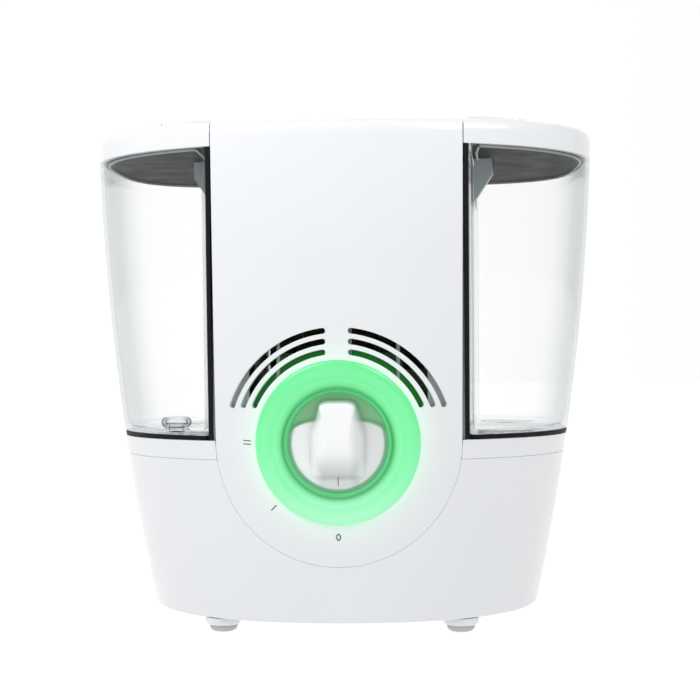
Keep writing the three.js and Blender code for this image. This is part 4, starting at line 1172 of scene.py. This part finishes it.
def float_dome():
    """The clear dome in the left tank's floor that the float rises into."""
    z = SEAL_TOP + GAP + 2.3
    outer = steps(-math.pi / 2, math.pi / 2, 16)
    inner = steps(math.pi / 2, -math.pi / 3, 10)
    profile = [(5.4 + 3.6 * math.cos(a), z + 3.4 + 3.4 * math.sin(a)) for a in outer]
    profile += [(1e-3, z + 6.8), (1e-3, z + 5.4)]
    profile += [(5.0 + 2.0 * math.cos(a), z + 3.4 + 2.0 * math.sin(a)) for a in inner]
    profile += [(FLOAT_HOLE, z + 1.3), (FLOAT_HOLE, z)]
    verts, faces = lathe(profile, 64, (-FLOAT_SPOT[0], FLOAT_SPOT[1], 0))
    obj = put("tank_left_float_dome", verts, faces, mats["thick_clear"], "tank_left")
    soften(obj, 0.15, 2)


def seal_ring(side):
    """The black seal under the tank."""
    heights = DECK_TOP + GAP, SEAL_TOP
    offsets = (0.2, TANK_MARGIN), (7, TANK_MARGIN + 7)
    loops = [tank_loop(heights[i], *offsets[j]) for i, j in ((0, 0), (1, 0), (1, 1), (0, 1))]
    verts, faces = mirrored(*loop_stack(loops, wrap=True), SIDES[side])
    obj = put(f"tank_{side}_seal_ring", verts, faces, mats["seal"], f"tank_{side}",
              [f"tank_{side}_seal"])
    soften(obj, 0.3, 2)


def bead(side):
    """The thin pale bead under the crown, interrupted where the finger pocket comes down."""
    section = [(BEAD_Z[i], BEAD_INSET[j]) for i, j in ((0, 0), (1, 0), (1, 1), (0, 1))]
    loops = [tank_loop(z, inset, TANK_MARGIN + inset, 9.0) for z, inset in section]
    count = len(loops[0])
    cut = [k for k, (x, y, _z) in enumerate(loops[2])
           if x < column_half(y) + POCKET_X[1] and POCKET_Y[0] < y < POCKET_Y[1]]
    keep = [(cut[-1] + 1 + k) % count for k in range(count - len(cut))]
    verts = [loop[k] for loop in loops for k in keep]
    n = len(keep)
    faces = grid_faces(4, n) + [(3 * n + k, 3 * n + k + 1, k + 1, k) for k in range(n - 1)]
    faces += [(0, n, 2 * n, 3 * n), (4 * n - 1, 3 * n - 1, 2 * n - 1, n - 1)]
    verts, faces = mirrored(verts, faces, SIDES[side])
    obj = put(f"tank_{side}_gasket_bead", verts, faces, mats["gasket"], f"tank_{side}",
              [f"tank_{side}_gasket"])
    soften(obj, 0.2, 2)


def liner(side):
    """The plate under the crown, cut out round the finger pocket."""
    outline = [p[:2] for p in tank_loop(277.0, WALL + GAP + 0.2, TANK_MARGIN + 2.9)]
    verts, faces = plate(outline, [column_box(POCKET_X, POCKET_Y, 4.0)], *LINER_Z, 8.0)
    verts, faces = mirrored(verts, faces, SIDES[side])
    obj = put(f"tank_{side}_liner_plate", verts, faces, mats["liner"], f"tank_{side}",
              [f"tank_{side}_liner"])
    soften(obj, 0.3, 2)


# ------------------------------------------------------------------ back

def rear_grille():
    low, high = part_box("rear_grille")
    x1, z0, z1 = high.x / MM, low.z / MM, high.z / MM
    outline = rounded_box(-x1, x1, z0, z1, 3.0)
    holes = []
    z, last = GRILLE_SLOTS_Z
    while z < last:
        holes += [rounded_box(a, b, z, z + GRILLE_SLOT, 2.2, 4) for a, b in ((-54, -2), (2, 54))]
        z += GRILLE_PITCH
    flat, tris = fill(outline, holes, 4.0)
    verts = [(x, back_y(x, z) - 0.2, z) for x, z in flat]
    obj = put("rear_grille_skin", verts, tris, mats["white"], "rear_grille", ["rear_grille"],
              facing=lambda c: Vector((0, 1, 0)))
    thicken(obj, 3.2)
    soften(obj, 0.6)


# ------------------------------------------------------------------ CAD nodes that stay

def keep(node, material, width=0.25):
    """A CAD node stays: its material changes, and its edges are softened by modifiers."""
    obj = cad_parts[node]
    obj.data.materials.clear()
    obj.data.materials.append(material)
    if "custom_normal" in obj.data.attributes:
        obj.data.attributes.remove(obj.data.attributes["custom_normal"])
    obj.data.polygons.foreach_set("use_smooth", [True] * len(obj.data.polygons))
    weld = obj.modifiers.new("weld", "WELD")
    weld.merge_threshold = 0.000004
    soften(obj, width, 2, 34)


base_tub()
tray()
feet()
gland()
front_panel()
light_ring()
knob_well()
knob()
dial_marks()
top_cover()
rear_grille()
for tank in SIDES:
    crown(tank)
    tank_shell(tank)
    seal_ring(tank)
    bead(tank)
    liner(tank)
float_dome()

KEPT = {
    "column_shell": "column", "wick_frame": "white", "float_guide": "white", "low_water_float": "grip",
    "slot_guard": "guard", "light_guide": "guide", "led_board": "board", "control_board": "board",
    "rotary_switch": "dark", "knob_shaft": "steel", "fan_shroud": "dark", "fan_deck": "dark",
    "fan_impeller": "dark", "fan_shaft": "steel", "fan_motor": "dark", "motor_bracket": "steel",
    "wick_filter": "wick",
}
# The edge strips take the black seal look as painted shade: they stand in for the dark bands of shade and
# inner reflection along the tanks' edges beside the panel.
for tank in SIDES:
    KEPT.update({
        f"edge_strip_{tank}": "seal", f"tank_well_{tank}": "white", f"tank_{tank}_grip_cup": "grip",
        f"tank_{tank}_cap": "dark", f"tank_{tank}_cap_seal": "seal", f"tank_{tank}_valve": "white",
        f"tank_{tank}_spring": "steel",
    })
for node_name, material_name in KEPT.items():
    keep(node_name, mats[material_name], 0.12 if "spring" in node_name else 0.25)

for tank in SIDES:
    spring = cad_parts[f"tank_{tank}_spring"]
    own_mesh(spring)


# ------------------------------------------------------------------ floor, light and camera

WORLD_FRONT = 0.68  # brightness of the room before the object
WORLD_BACK = 1.12  # brightness of the backdrop behind it
FLOOR_HALF = 6.0  # metres
LAMP_SIZE = 0.3


def studio():
    corners = [(x * FLOOR_HALF, y * FLOOR_HALF, 0) for x, y in ((-1, -1), (1, -1), (1, 1), (-1, 1))]
    mesh = bpy.data.meshes.new("floor")
    mesh.from_pydata(corners, [], [(0, 1, 2, 3)])
    floor = bpy.data.objects.new("floor", mesh)
    bpy.context.scene.collection.objects.link(floor)
    paper = moulded("studio_floor", (0.3, 0.3, 0.3), 0.8, vary=0.004, grain=40.0, strength=0.02, specular=0.1)
    shader = paper.node_tree.nodes["Principled BSDF"]
    shader.inputs["Emission Color"].default_value = (1, 1, 1, 1)
    shader.inputs["Emission Strength"].default_value = 0.82
    mesh.materials.append(paper)

    world = bpy.data.worlds.new("studio")
    bpy.context.scene.world = world
    world.use_nodes = True
    tree = world.node_tree
    towards = tree.nodes.new("ShaderNodeTexCoord").outputs["Generated"]
    backdrop = spread(tree, component(tree, towards, "Y"), WORLD_FRONT, WORLD_BACK, 0.55, 0.85)
    across = spread(tree, component(tree, towards, "X"), 1.06, 0.78, -0.8, 0.8)
    room = arithmetic(tree, "MULTIPLY", backdrop, across)
    tree.links.new(room, tree.nodes["Background"].inputs["Strength"])
    tree.nodes["Background"].inputs["Color"].default_value = (1, 1, 1, 1)

    target = Vector((0, 0, 0.25))
    for name, x, power in (("key_left", -0.34, 1.7), ("key_right", 0.34, 1.2)):
        data = bpy.data.lights.new(name, "AREA")
        data.shape = "RECTANGLE"
        data.size = data.size_y = LAMP_SIZE
        data.energy = power
        lamp = bpy.data.objects.new(name, data)
        bpy.context.scene.collection.objects.link(lamp)
        lamp.location = (x, -0.36, 0.6)
        lamp.rotation_euler = (target - lamp.location).to_track_quat("-Z", "Y").to_euler()


def camera():
    azimuth, roll, distance, height = math.radians(2.7), math.radians(-0.4), 0.9, 0.1615
    data = bpy.data.cameras.new("camera")
    data.sensor_width = 36.0
    data.lens = 74.2
    data.shift_x = 0.0063
    data.clip_start = 0.01
    data.dof.use_dof = False
    cam = bpy.data.objects.new("camera", data)
    bpy.context.scene.collection.objects.link(cam)
    upright = Matrix.Rotation(math.pi / 2, 4, "X")
    look = Matrix.Rotation(azimuth, 4, "Z") @ upright @ Matrix.Rotation(roll, 4, "Z")
    place = Vector((distance * math.sin(azimuth), -distance * math.cos(azimuth), height))
    cam.matrix_world = Matrix.Translation(place) @ look
    bpy.context.scene.camera = cam


studio()
camera()
bpy.context.scene.view_settings.view_transform = "Standard"

bpy.context.view_layer.update()
